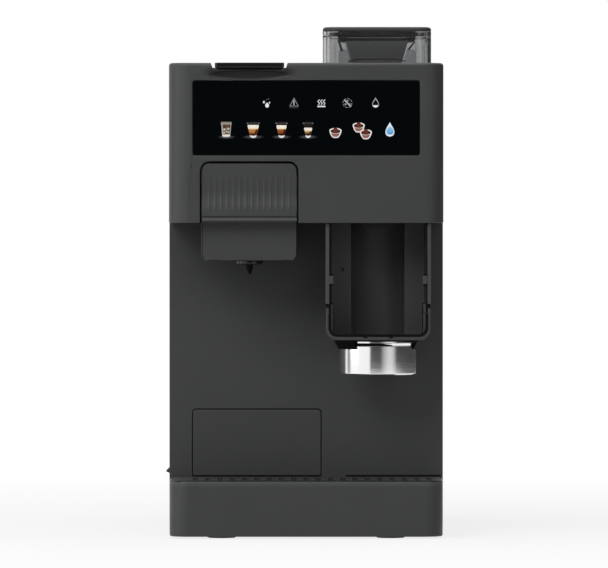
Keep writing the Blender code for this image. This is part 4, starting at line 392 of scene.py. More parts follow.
def lofted(rings, looped=False):
    """A closed shape through rings of points, whose last ring has a cap or leads to the first again."""
    shape = bmesh.new()
    lines = []
    for ring in rings:
        if len(set(ring)) == 1:
            lines.append([shape.verts.new(ring[0])] * len(ring))
        else:
            lines.append([shape.verts.new(point) for point in ring])
    if looped:
        join_lines(shape, lines + lines[:1])
    else:
        shape.faces.new(lines[0])
        shape.faces.new(reversed(lines[-1]))
        join_lines(shape, lines)
    return shape


def box_shape(corner, opposite):
    shape = bmesh.new()
    bmesh.ops.create_cube(shape, size=1.0)
    ends = [sorted(pair) for pair in zip(corner, opposite)]
    for vert in shape.verts:
        vert.co = [ends[i][1 if vert.co[i] > 0 else 0] for i in range(3)]
    return shape


def polar(centre, radius, turn):
    return centre[0] + radius * cos(turn), centre[1] + radius * sin(turn)


def arc(centre, radius, start, end, steps):
    """Points about a centre, from one bearing to another in degrees."""
    return [polar(centre, radius, radians(start + (end - start) * i / steps)) for i in range(steps + 1)]


def rounded(points, radii, steps=6):
    """A closed run of (u, v) points whose corners are rounded by their own radii."""
    result = []
    for i, radius in enumerate(radii):
        before, corner, after = (Vector(points[k % len(points)]) for k in (i - 1, i, i + 1))
        if radius == 0:
            result.append(tuple(corner))
            continue
        back, ahead = (before - corner).normalized(), (after - corner).normalized()
        half = back.angle(ahead) / 2
        reach = radius / tan(half)
        middle = corner + (back + ahead).normalized() * (radius / sin(half))
        start = corner + back * reach - middle
        turn = start.angle_signed(corner + ahead * reach - middle)
        for step in range(steps + 1):
            way = start.copy()
            way.rotate(Matrix.Rotation(-turn * step / steps, 2))
            result.append(tuple(middle + way))
    return result


def turned_shape(centre, corners, steps=TURN_STEPS, curve=4):
    """A closed outline turned about a vertical axis. Each corner is (radius, height, its rounding, if any)."""
    turns = [tau * i / steps for i in range(steps)]
    profile = rounded([corner[:2] for corner in corners], [sum(corner[2:]) for corner in corners], curve)
    return lofted([[(*polar(centre, radius, t), height) for t in turns] for radius, height in profile], looped=True)


def disc_shape(centre, radius, low, high, steps=TURN_STEPS):
    return turned_shape(centre, [(0, low), (radius, low), (radius, high), (0, high)], steps)


def rectangle(low_u, high_u, low_v, high_v, radius, steps=8):
    corners = [(low_u, low_v), (high_u, low_v), (high_u, high_v), (low_u, high_v)]
    return rounded(corners, [radius] * 4, steps)


def prism_shape(outline, low, high, axis):
    """A closed outline made thick along an axis. Its points are the two other coordinates in order."""
    return lofted([[(*point[:axis], along, *point[axis:]) for point in outline] for along in (low, high)])


def stacked_shape(low, high, radius, levels, least_radius=0.0004):
    """Rounded rectangles on top of each other: each level is (height, how far it stands in)."""
    rings = []
    for z, inset in levels:
        ends = low.x + inset, high.x - inset, low.y + inset, high.y - inset
        rings.append([(x, y, z) for x, y in rectangle(*ends, max(radius - inset, least_radius), 10)])
    return lofted(rings)


def ring_shape(low, high, radius, wall, bottom, top):
    """A rounded rectangular wall."""
    outer = rectangle(low.x, high.x, low.y, high.y, radius, 16)
    inside = rectangle(low.x + wall, high.x - wall, low.y + wall, high.y - wall, radius - wall, 16)
    sides = ((outer, bottom), (outer, top), (inside, top), (inside, bottom))
    return lofted([[(x, y, z) for x, y in line] for line, z in sides], looped=True)


def wrapped_shape(centre, inner, outer, stations, steps=24):
    """A strip bent about a vertical axis: each station is a bearing in degrees, and the strip's foot and top there."""
    rings = []
    for before, after in zip(stations, stations[1:]):
        for i in range(steps + 1):
            bearing, foot, top = (a + (b - a) * i / steps for a, b in zip(before, after))
            corners = ((inner, foot), (outer, foot), (outer, top), (inner, top))
            rings.append([(*polar(centre, radius, radians(bearing)), z) for radius, z in corners])
    shape = lofted(rings)
    bmesh.ops.remove_doubles(shape, verts=shape.verts, dist=JOIN_REACH)
    return shape


def wedge_shape(centre, start, end, low, high, reach=0.045):
    """A wedge about a vertical axis, from one bearing to another in degrees, 270 being the front."""
    return prism_shape([centre, *arc(centre, reach, start, end, 24)], low, high, 2)


def centre_of(name):
    """Where the vertical axis of a solid stands."""
    low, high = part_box(name)
    return (low.x + high.x) / 2, (low.y + high.y) / 2


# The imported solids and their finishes

SOLIDS = {
    "head_plastic": "upper_housing",
    "tray_plastic": "drip_tray",
    "body_plastic": "pod_lid lower_front_panel drawer_door rear_cover drip_grille",
    "bay_brightened_plastic": "bay_back bay_frame",
    "shadow_plastic": "grounds_chute",
    "funnel_brightened_plastic": "hopper_funnel",
    "dark_plastic": (
        "base_plate head_underside lid_hinge_base brew_chamber carriage_guide grinder_housing tray_catch pod_drawer "
        "drawer_shelf mains_inlet power_switch tank_lid"
    ),
    "gloss_black": "pod_holder power_rocker",
    "clear": "water_tank",
    "rubber": "tank_outlet suction_hose pump_hose",
    "steel": "lid_hinge_pin injector upper_burr thermoblock_bracket outlet_tube brew_hose",
    "aluminium": "grinder_gearbox grinder_motor thermoblock pump",
    "circuit_board": "display_board control_board",
}
WIDE_EDGES = {
    "upper_housing": SHELL_EDGE, "pod_lid": SHELL_EDGE, "drip_tray": 0.0013, "lower_front_panel": SOFT_EDGE,
    "drawer_door": SOFT_EDGE,
}
WHOLE_FLATS = ("lower_front_panel",)


def dress_solids():
    for finish, names in SOLIDS.items():
        for name in names.split():
            dress_solid(name, finish, WIDE_EDGES.get(name, FINE_EDGE))


def dress_solid(name, finish, width):
    """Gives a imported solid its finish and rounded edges, and joins its flats where their seams would show."""
    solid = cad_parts[name]
    solid.data.materials.clear()
    solid.data.materials.append(FINISHES[finish])
    custom = solid.data.attributes.get("custom_normal")
    if custom is not None:
        solid.data.attributes.remove(custom)
    for face in solid.data.polygons:
        face.use_smooth = True
    for edge in solid.data.edges:
        edge.use_edge_sharp = False
    solid.modifiers.new("joined_points", "WELD").merge_threshold = WELD_REACH
    if name in WHOLE_FLATS:
        merged = solid.modifiers.new("whole_flats", "DECIMATE")
        merged.decimate_type = "DISSOLVE"
        merged.angle_limit = radians(0.05)
    soften(solid, width)


# Display and its pictures

def linear(*levels):
    """A display colour, written 0 to 255, as the light it gives."""
    return tuple((level / 255 / 12.92) if level < 11 else ((level / 255 + 0.055) / 1.055) ** 2.4 for level in levels)


WHITE = linear(232, 234, 235)

# The lowest pictures lie this far behind the head's face, and each level on top a step nearer
PICTURE_DEPTH = 0.00016
PICTURE_STEP = 0.00002


class Picture:
    """Flat painted shapes on the glass, placed by the photograph's pixels."""

    def __init__(self, name):
        self.name = name
        self.shape = bmesh.new()
        self.paint = self.shape.loops.layers.float_color.new("picture")
        self.level = 0

    def spot(self, x, y):
        across = VIEW_X + (x - MIDDLE_PIXEL[0]) * PIXEL
        up = VIEW_Z + (MIDDLE_PIXEL[1] - y) * PIXEL
        return across, FRONT_Y + PICTURE_DEPTH - PICTURE_STEP * self.level, up

    def face(self, points, colours):
        """One face, with a colour for each of its points or one for all."""
        verts = [self.shape.verts.new(self.spot(*p)) for p in points]
        face = self.shape.faces.new(verts)
        face.normal_update()
        if face.normal.y > 0:
            face.normal_flip()
        wanted = dict(zip(verts, colours)) if isinstance(colours, list) else dict.fromkeys(verts, colours)
        for loop in face.loops:
            loop[self.paint] = (*wanted[loop.vert], 1.0)

    def on_top(self, levels=1):
        """What follows is painted over what is there, or under it for a negative number of levels."""
        self.level += levels
        return self

    def bands(self, x, levels):
        """Stacked strips about x: each level is (y, half width, colour)."""
        for (y0, w0, c0), (y1, w1, c1) in zip(levels, levels[1:]):
            self.face([(x - w0, y0), (x + w0, y0), (x + w1, y1), (x - w1, y1)], [c0, c0, c1, c1])

    def oval(self, x, y, across, up, colour, steps=20):
        self.face([(x + across * cos(t), y + up * sin(t)) for t in (tau * i / steps for i in range(steps))], colour)

    def ring(self, x, y, across, up, thick, colour, start=0.0, end=1.0, steps=24):
        for i in range(steps):
            a, b = (tau * (start + (end - start) * (i + k) / steps) for k in (0, 1))
            corners = ((a, 0.0), (b, 0.0), (b, thick), (a, thick))
            self.face([(x + (across - inner) * cos(t), y + (up - inner) * sin(t)) for t, inner in corners], colour)

    def stroke(self, points, thick, colour):
        """A line of even thickness through points."""
        for a, b in zip(points, points[1:]):
            way = (Vector(b) - Vector(a)).normalized()
            side, end = Vector((-way.y, way.x)) * thick / 2, way * thick / 4
            start, stop = Vector(a) - end, Vector(b) + end
            self.face([tuple(start - side), tuple(stop - side), tuple(stop + side), tuple(start + side)], colour)

    def drop(self, x, top, bottom, radius, colour, low_colour=None, steps=12):
        """A water drop with a pointed top."""
        centre, thinnest = bottom - radius, 0.05
        rows = []
        for share in (i / steps for i in range(steps + 1)):
            y = top + (bottom - top) * share
            if y < centre:
                width = radius * sin(pi / 2 * ((y - top) / (centre - top)) ** 1.15)
            else:
                width = sqrt(max(radius ** 2 - (y - centre) ** 2, 0))
            mix = tuple(a * (1 - share) + b * share for a, b in zip(colour, low_colour or colour))
            rows.append((y, max(width, thinnest), mix))
        self.bands(x, rows)

    def finish(self):
        piece = thing_from(self.name, self.shape)
        piece.data.materials.append(LIT)
        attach(piece, "machine")


def status_icons():
    """The small row: bubbles, a warning triangle, heat, a fan and a half-full drop."""
    icons = Picture("status_icons")
    grey, pale = linear(146, 148, 150), linear(196, 198, 199)
    for x, y, across, up in ((263.9, 102.0, 0.95, 1.25), (267.1, 105.3, 1.9, 2.3), (269.5, 102.6, 0.65, 0.9)):
        icons.oval(x, y, across, up, WHITE)
    icons.face([(265.9, 104.6), (267.1, 102.2), (268.3, 104.6)], WHITE)
    for thick, colour, *points in (
        (0.35, grey, (266.3, 99.9), (267.2, 98.9)),
        (0.35, grey, (268.2, 99.4), (268.9, 98.4)),
        (0.55, linear(150, 152, 154), (294.0, 98.0), (289.8, 106.0), (298.2, 106.0), (294.0, 98.0)),
        (1.0, pale, (293.9, 100.4), (293.9, 104.6)),
        (0.35, linear(84, 86, 88), (289.6, 107.7), (298.4, 107.7)),
    ):
        icons.stroke(points, thick, colour)
    for x in (318.7, 321.4, 324.1):
        wave = [(x + 0.85 * cos(t * 1.5), 99.6 + t * 0.88) for t in (i / 2 for i in range(12))]
        icons.stroke(wave, 0.7, linear(232, 233, 234))
        icons.stroke([(x - 0.9, 106.3), (x + 0.9, 106.3)], 1.4, WHITE)
    fan_x, fan_y = 347.5, 103.0
    for i in range(8):
        icons.ring(fan_x, fan_y, 4.7, 4.7, 0.55, grey, i / 8, i / 8 + 0.085, 3)
    for i in range(3):
        x, y = polar((fan_x, fan_y), 2.2, tau * i / 3 + 0.5)
        icons.oval(x, y, 1.2, 0.9, grey, 10)
    icons.on_top().stroke([(344.3, 99.8), (350.9, 106.4)], 1.0, pale)
    icons.drop(375.6, 97.4, 107.7, 3.35, linear(168, 170, 171))
    icons.on_top().drop(375.6, 99.1, 107.0, 2.75, BLACK[:3])
    water = ((105.1, 2.6), (106.0, 2.5), (106.9, 1.7), (107.4, 0.5))
    icons.on_top().bands(375.6, [(y, half, WHITE) for y, half in water])
    icons.finish()


def drink_icons():
    """The large row: an iced drink, three coffees in glasses, one pod, two pods and water."""
    icons = Picture("drink_icons")
    for x, wide in ((226.6, 8.6), (253.2, 10.6), (281.5, 9.6), (308.1, 9.4)):
        icons.oval(x, 136.9, wide, 1.9, linear(28, 27, 32))
        icons.on_top().oval(x, 136.9, wide * 0.74, 1.3, linear(66, 63, 72))
        icons.on_top(-1)
    iced_drink(icons.on_top(2), 226.2)
    froth, foam = linear(255, 246, 226), linear(240, 214, 168)
    for x, half, top, low, pale, coffee, deep in (
        (253.2, 6.2, 125.0, 128.8, froth, linear(186, 124, 66), linear(84, 38, 14)),
        (281.5, 5.7, 125.4, 128.8, froth, linear(152, 82, 40), linear(60, 16, 8)),
        (308.1, 4.9, 127.8, 130.8, linear(250, 232, 214), linear(176, 140, 92), linear(54, 36, 18)),
    ):
        short_glass(icons, x, half, top, low, (pale, foam, coffee, deep))
    pod(icons, 335.5, 132.6, 1.0)
    pod(icons, 358.7, 127.2, 0.98)
    pod(icons.on_top(4), 365.9, 134.0, 0.98)
    blue, pale = linear(64, 140, 208), linear(176, 214, 238)
    icons.drop(389.9, 122.2, 136.7, 4.5, linear(236, 244, 250), linear(206, 226, 242))
    icons.on_top().drop(390.1, 125.6, 134.8, 3.5, pale, blue)
    icons.on_top().face([(388.0, 129.4), (390.0, 127.4), (391.4, 131.0), (389.2, 132.2)], linear(120, 186, 230))
    icons.bands(389.9, [(134.5, 3.3, linear(232, 242, 248)), (135.6, 2.8, linear(246, 250, 252)), (136.2, 1.4, pale)])
    icons.finish()


def iced_drink(icons, x):
    """A tall iced drink, with cubes of ice and two bright lines down its glass."""
    rim, mix = linear(150, 146, 138), linear(112, 96, 80)
    icons.bands(x, [
        (121.7, 5.0, linear(112, 108, 102)), (122.9, 5.5, rim), (124.2, 5.3, rim), (124.8, 5.0, linear(96, 62, 38)),
        (127.2, 4.7, linear(72, 42, 24)), (128.0, 4.5, mix), (134.2, 3.9, mix), (134.8, 3.9, linear(236, 232, 226)),
        (136.2, 3.7, linear(228, 224, 218)), (137.2, 2.6, linear(124, 120, 114)),
    ])
    icons.on_top()
    for u, y, size, level in (
        (-1.9, 129.4, 1.5, 206), (1.9, 128.6, 1.6, 196), (0.4, 131.4, 1.3, 176), (-2.1, 132.6, 1.2, 200),
        (2.2, 132.2, 1.2, 190), (0.6, 126.0, 0.8, 120),
    ):
        ice = [(x + u - size, y), (x + u, y - size * 0.8), (x + u + size, y), (x + u, y + size * 0.8)]
        icons.face(ice, linear(level, level - 8, level - 20))
    icons.stroke([(x - 4.3, 124.4), (x - 4.1, 128.0), (x - 3.6, 134.2)], 1.0, linear(188, 186, 180))
    icons.stroke([(x + 4.5, 124.4), (x + 4.3, 128.0), (x + 3.8, 134.2)], 0.6, linear(178, 176, 170))
    icons.on_top(-1)


def short_glass(icons, x, half, top, low, colours):
    """A low glass with an empty rim, foam from top to low, and coffee under it."""
    froth, foam, coffee, deep = colours
    foot, base, tall, flare = half * 0.52, 136.2, 13.0, 0.72

    def level(y, inset, colour, height=None):
        """A level of bands as wide as the glass is at y, and drawn there or at another height."""
        wide = foot + (half - foot) * max((base - y) / tall, 0.0) ** flare
        return y if height is None else height, wide - inset, colour

    icons.bands(x, [level(122.8, 0.0, linear(34, 32, 33)), level(top, 0.0, linear(14, 12, 12))])
    icons.bands(x, [
        level(top, 0.5, froth, top - 0.3), level(top, 0.4, froth, top + 1.6), level(low, 0.4, foam),
        level(low, 0.5, coffee, low + 0.8), level(131.8, 0.4, coffee), level(134.0, 0.3, deep),
        level(135.2, 0.4, deep),
    ])
    icons.bands(x, [
        (135.0, foot * 1.1, linear(96, 80, 70)), (135.8, foot * 1.1, linear(226, 220, 214)), (136.8, foot * 0.9, WHITE),
        (137.8, foot * 0.35, WHITE),
    ])
    icons.on_top()
    edge = [(x + level(y, 0.5, deep)[1], y) for y in (low + 0.4, 130.6, 132.6, 135.0)]
    icons.face([(x + half * 0.42, low + 0.4), *edge, (x + half * 0.12, 135.0), (x + half * 0.3, 131.6)], deep)
    icons.oval(x, 135.0, foot * 0.62, 0.7, linear(22, 10, 6), 12)
    for side in (-1, 1):
        icons.oval(x + side * half * 0.92, 123.2, 0.9, 0.8, linear(104, 98, 98), 10)
        icons.oval(x + side * half * 0.55, top + 1.1, half * 0.3, 0.9, WHITE, 10)
    icons.ring(x, 122.9, half * 0.96, 0.8, 0.3, linear(84, 80, 82), steps=20)
    icons.on_top(-1)


def pod(icons, x, y, size):
    """A filled pod seen from above its rim, with a mound of coffee in it."""
    pink, cup, white = linear(176, 140, 132), linear(138, 100, 92), linear(246, 238, 234)
    for levels in (
        ((-1.6, 6.1, white), (1.2, 5.3, white), (3.4, 4.1, white), (4.9, 2.7, white), (5.4, 1.5, pink)),
        ((-0.4, 4.7, pink), (1.6, 4.0, cup), (3.1, 3.0, cup), (4.3, 1.9, pink)),
    ):
        icons.bands(x, [(y + v * size, half * size, colour) for v, half, colour in levels])
        icons.on_top()
    icons.oval(x, y - 1.9 * size, 6.2 * size, 2.9 * size, white)
    icons.on_top().oval(x, y - 1.5 * size, 5.0 * size, 2.2 * size, linear(34, 12, 12))
    mound = ((-3.4, -0.9), (-2.4, -3.4), (-1.3, -5.0), (1.3, -5.0), (2.4, -3.4), (3.4, -0.9), (0.0, 0.6))
    icons.on_top().face([(x + u * size, y + v * size) for u, v in mound], linear(98, 44, 34))
    for u, v, r in ((-1.3, -2.4, 0.5), (0.4, -3.3, 0.5), (1.6, -1.9, 0.5), (-0.2, -0.9, 0.4)):
        icons.oval(x + u * size, y + v * size, r, r * 0.6, linear(150, 88, 70), 8)
    icons.on_top(-4)


def display():
    low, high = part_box("display_glass")
    panel = prism_shape(rectangle(low.x, high.x, low.z, high.z, 0.002), low.y + 0.0002, high.y, 1)
    glass = add("display_panel", panel, "machine", "display_glass", FINE_EDGE)
    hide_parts("display_glass")
    status_icons()
    drink_icons()


# Spout carriage

RIDGE_PITCH = 0.00537
RIDGE_COUNT = 14
RIDGE_HEIGHT = 0.00034
RIDGE_HALF_WIDTH = 0.0012
GRIP_DEPTH = 0.0014
OUTLET_BORE = 0.0043


def smooth_step(low, high, value):
    share = min(max((value - low) / (high - low), 0.0), 1.0)
    return share * share * (3 - 2 * share)


def carriage():
    """The carriage with its fluted finger hollow, lip and set-back lower box."""
    low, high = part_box("spout_carriage")
    middle, half = (low.x + high.x) / 2, (high.x - low.x) / 2
    top_radius, low_radius = 0.0075, 0.006
    grip_top, grip_low, lip_top, lip_low = 0.3175, 0.2855, 0.281, 0.2772
    front, recessed = low.y + 0.0001, low.y + 0.016

    def half_width(z):
        """Half the carriage's width at a height, less where a corner is rounded."""
        for radius, past in ((top_radius, z - high.z + top_radius), (low_radius, low.z + low_radius - z)):
            if past > 0:
                return half - radius + sqrt(max(radius ** 2 - past ** 2, 0.0))
        return half

    def depth(x, z):
        """Where the fluted front stands."""
        share = (z - (grip_top + grip_low) / 2) / ((grip_top - grip_low) / 2)
        if abs(share) >= 1:
            return front
        hollow = GRIP_DEPTH * cos(share * pi / 2) ** 2
        place = (x - middle) / RIDGE_PITCH + RIDGE_COUNT / 2
        off = abs(place % 1 - 0.5) * RIDGE_PITCH / RIDGE_HALF_WIDTH
        ridge = max(0.0, 1 - off * off) if 0 < place < RIDGE_COUNT else 0.0
        fade = 1 - smooth_step(0.7, 1.0, abs(share))
        return front + hollow - RIDGE_HEIGHT * fade * ridge

    corner = [sin(pi / 2 * i / 10) for i in range(11)]
    rows = [(high.z - top_radius + top_radius * s, None) for s in reversed(corner)]
    rows += [(grip_top + 0.0008, None)]
    rows += [(grip_top - (grip_top - grip_low) * i / 28, None) for i in range(29)]
    rows += [
        (lip_top + 0.0008, front), (lip_top + 0.0003, front + 0.0001), (lip_top, front + 0.001),
        (lip_top - 0.0004, front + 0.0011), (lip_low + 0.0011, front + 0.0002), (lip_low + 0.0004, front + 0.0002),
        (lip_low, front + 0.0006), (lip_low, recessed - 0.0012), (lip_low - 0.0003, recessed - 0.0004),
        (lip_low - 0.0012, recessed), (low.z + low_radius + 0.001, recessed),
    ]
    rows += [(low.z + low_radius - low_radius * s, recessed + 0.0016 * max(0.0, s - 0.6) ** 2) for s in corner]
    columns = 16 * RIDGE_COUNT
    shape = bmesh.new()
    grid = []
    for z, fixed in rows:
        wide = half_width(z)
        across = [middle - wide + 2 * wide * i / columns for i in range(columns + 1)]
        grid.append([shape.verts.new((x, depth(x, z) if fixed is None else fixed, z)) for x in across])
    join_lines(shape, grid, closed=False)
    rim = grid[0] + [row[-1] for row in grid[1:-1]] + grid[-1][::-1] + [row[0] for row in grid[-2:0:-1]]
    back = [shape.verts.new((v.co.x, high.y, v.co.z)) for v in rim]
    join_lines(shape, [rim, back])
    shape.faces.new(back)
    bmesh.ops.remove_doubles(shape, verts=shape.verts, dist=JOIN_REACH)
    piece = add("fluted_carriage", shape, "spout", "body_plastic")
    wall = 0.003
    back, upper, lower = high.y - wall, low.y + 0.0046, recessed + wall
    inside = [
        (back, high.z + wall), (upper, high.z + wall), (upper, lip_low + wall), (lower, lip_low + wall),
        (lower, low.z + wall), (back, low.z + wall),
    ]
    room = prism_shape(inside, low.x + wall, high.x - wall, 0)
    outlet = centre_of("outlet_boss")
    hole = disc_shape(outlet, OUTLET_BORE, low.z - wall, low.z + 2 * wall, 48)
    carve(piece, [room, hole], 0.0009, 3, SHARP_LIMIT)
    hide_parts("spout_carriage")
    outlet_parts(outlet, low.z)


def outlet_parts(centre, floor):
    """The round boss, and the pointed nozzle with its four fins, under the carriage."""
    low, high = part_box("outlet_boss")
    radius = (high.x - low.x) / 2
    turned = turned_shape(centre, [
        (OUTLET_BORE, high.z), (radius, high.z), (radius, low.z + 0.0012, 0.0008), (radius - 0.0035, low.z, 0.001),
        (OUTLET_BORE, low.z),
    ], curve=6)
    boss = add("turned_boss", turned, "spout", "gloss_black", BEAD_EDGE, 2, radians(40))
    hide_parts("outlet_boss")
    low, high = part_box("spout_nozzle")
    cup, wall, tube, bore = (high.x - low.x) / 2, 0.0015, 0.004, 0.0008
    seat = high.z - 0.01
    turned = turned_shape(centre, [
        (cup, high.z, 0.0004), (cup, seat, 0.0006), (tube, seat, 0.0006), (tube, floor - 0.0036, 0.0004),
        (0.0028, floor - 0.005, 0.0003), (0.0022, floor - 0.0066, 0.0004), (0.0013, low.z, 0.0002), (bore, low.z),
        (bore, seat + wall, 0.0004), (cup - wall, seat + wall, 0.0008), (cup - wall, high.z, 0.0004),
    ], 64)
    nozzle = add("turned_nozzle", turned, "spout", "black_trim", HAIR_EDGE, 1, SHARP_LIMIT)
    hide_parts("spout_nozzle")
    fin_top, half_thick = floor - 0.0046, 0.0004
    rim = [(0.0016, fin_top), (0.0033, fin_top), (0.003, floor - 0.0062), (0.0012, low.z)]
    for i in range(4):
        way = Vector((*polar((0, 0), 1, pi / 2 * i), 0.0))
        side = Vector((-way.y, way.x, 0.0)) * half_thick
        fin = lofted([[tuple(Vector((*centre, z)) + way * r + edge) for r, z in rim] for edge in (-side, side)])
        add(f"nozzle_fin_{i + 1}", fin, "spout", "black_trim", HAIR_EDGE, 1)


# Pod lid's bar

def lid_bar():
    """The gloss bar, whose lower front edge is cut back."""
    low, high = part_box("pod_lid_bar")
    low, high = low - Vector((0.0014, 0, 0)), high + Vector((0.0018, 0, 0.0002))
    levels = [
        (low.z, 0.0016), (low.z + 0.0005, 0.0012), (low.z + 0.0019, 0.0), (high.z - 0.0003, 0.0), (high.z, 0.0003),
    ]
    bar = add("gloss_bar", stacked_shape(low, high, 0.0022, levels), "pod_lid", "gloss_black", 0.00025, 3)
    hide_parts("pod_lid_bar")


# Dosing bay

def bay_details():
    """The tabs and the dark inner bead of the bay's frame, and the skirt behind the cup."""
    low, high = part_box("bay_frame")
    back = low.y + 0.0006
    arm, bead, proud = 0.0047, 0.0016, 0.00025
    tab_low, tab_high, slot_tall = 0.2226, 0.2296, 0.0012
    for side, name in SIDES:
        edge = (low.x if side < 0 else high.x) - side * arm
        strip = box_shape((edge, low.y - proud, low.z - 0.0079), (edge + side * bead, back, high.z))
        add(f"bay_bead_{name}", strip, "machine", "black_trim", BEAD_EDGE)
        outer, inner = edge + side * 0.0017, edge - side * 0.0021
        tab = box_shape((inner, low.y - 0.0009, tab_low), (outer, low.y + 0.0008, tab_high))
        add(f"bay_tab_{name}", tab, "machine", "body_plastic", SOFT_EDGE)
        for letter, z in (("a", tab_low - 0.0018), ("b", tab_high + 0.0006)):
            slot = box_shape((inner, low.y - 2 * proud, z), (outer, back, z + slot_tall))
            add(f"tab_slot_{name}_{letter}", slot, "machine", "black_trim", BEAD_EDGE)
    back_low, back_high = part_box("bay_back")
    liner_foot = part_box("bay_liner")[0].z
    middle, half, radius = (low.x + high.x) / 2, 0.039, 0.0235
    outline = [
        (middle + half, back_high.y), (middle + half, back_low.y), *arc((middle, back_low.y), radius, 0, 180, 32),
        (middle - half, back_low.y), (middle - half, back_high.y),
    ]
    skirt = prism_shape(outline, liner_foot + 0.0031, back_low.z + 0.0004, 2)
    add("bay_skirt", skirt, "machine", "bay_brightened_plastic", FINE_EDGE)
    bail(low.y)


def bail(front):
    """The U-shaped bail with round eyes, a black skin of painted shade over the top of each eye, its dark inner bead,
    and the two notches in its bar.
    """
    low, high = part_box("cup_bail")
    depth, leg, bar, corner = 0.0078, 0.0025, 0.0033, 0.01
    eye, bore, past = depth / 2, 0.0021, 0.001
    foot, above = low.z + 0.0024, high.z + 0.02
    axis = (front + eye, high.z - eye)

    def u_shape(inset, rise, start, end, over=0.0):
        """The bail's outline, in from its legs by inset and above its foot by rise, between two depths."""
        sides = low.x + inset, high.x - inset, foot + rise, above + over
        return prism_shape(rectangle(*sides, corner - inset, 12), front + start, front + end, 1)

    piece = add("shaped_bail", u_shape(0.0, 0.0, 0.0, depth), "bail", "body_plastic")
    over = [
        (axis[0] - eye - past, axis[1]), (axis[0] - eye - past, above + 2 * past),
        (axis[0] + eye + past, above + 2 * past), (axis[0] + eye + past, axis[1]), *arc(axis, eye, 0, 180, 24),
    ]
    cuts = [u_shape(leg, bar, -past, depth + past, past)]
    cuts += [prism_shape(line, low.x - past, high.x + past, 0) for line in (over, arc(axis, bore, 0, 345, 23))]
    carve(piece, cuts, SHELL_EDGE, 3, SHARP_LIMIT)
    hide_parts("cup_bail")
    wide, proud, lap, far = 0.0023, 0.00025, 0.0004, 0.01
    bead = add("bail_bead", u_shape(leg - lap, bar - lap, -proud, 0.0006), "bail", "black_trim")
    upper = box_shape((low.x - far, front - far, axis[1] - eye - 0.0003), (high.x + far, front + far, 0.3))
    carve(bead, [u_shape(leg - lap + wide, bar - lap + wide, -far, far, past), upper], BEAD_EDGE)
    # Painted shade: a black skin over the upper front of each eye, where its rounding turns up into shade.
    skin = arc(axis, eye + 0.0001, 95, 172, 12) + arc(axis, eye - 0.0003, 172, 95, 12)
    for side, name in SIDES:
        edge = low.x if side < 0 else high.x
        ends = sorted((edge - side * 0.00005, edge - side * (leg + 0.0001)))
        add(f"bail_eye_shadow_{name}", prism_shape(skin, *ends, 0), "bail", "black_trim", 0.00005, 1)
        centre, half = (low.x + high.x) / 2 + side * 0.0112, 0.0018
        notch = box_shape(
            (centre - half, front - 0.0002, foot + 0.0017), (centre + half, front + 0.001, foot + 0.003),
        )
        add(f"bail_notch_{name}", notch, "bail", "black_trim", BEAD_EDGE)


# Dosing cup and its collar

def dosing_cup():
    low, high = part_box("dosing_cup")
    radius, inner = 0.0338, 0.0326
    shoulder, neck, neck_inner = 0.1679, 0.0295, 0.0277
    turned = turned_shape(centre_of("dosing_cup"), [
        (0, low.z + 0.002), (inner - 0.0005, low.z + 0.002, 0.003), (inner, shoulder - 0.0012, 0.0008),
        (neck_inner, shoulder - 0.0012, 0.0004), (neck_inner, high.z, 0.0006), (neck, high.z, 0.0006),
        (neck, shoulder, 0.0004), (radius - 0.0004, shoulder, 0.0002), (radius, shoulder - 0.0004, 0.0002),
        (radius, low.z + 0.0016, 0.0007), (radius - 0.001, low.z + 0.0006, 0.0006),
        (radius - 0.0034, low.z, 0.0008), (0, low.z),
    ], 2 * TURN_STEPS, 5)
    cup = add("polished_cup", turned, "dosing_cup", "cup_steel")
    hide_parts("dosing_cup")


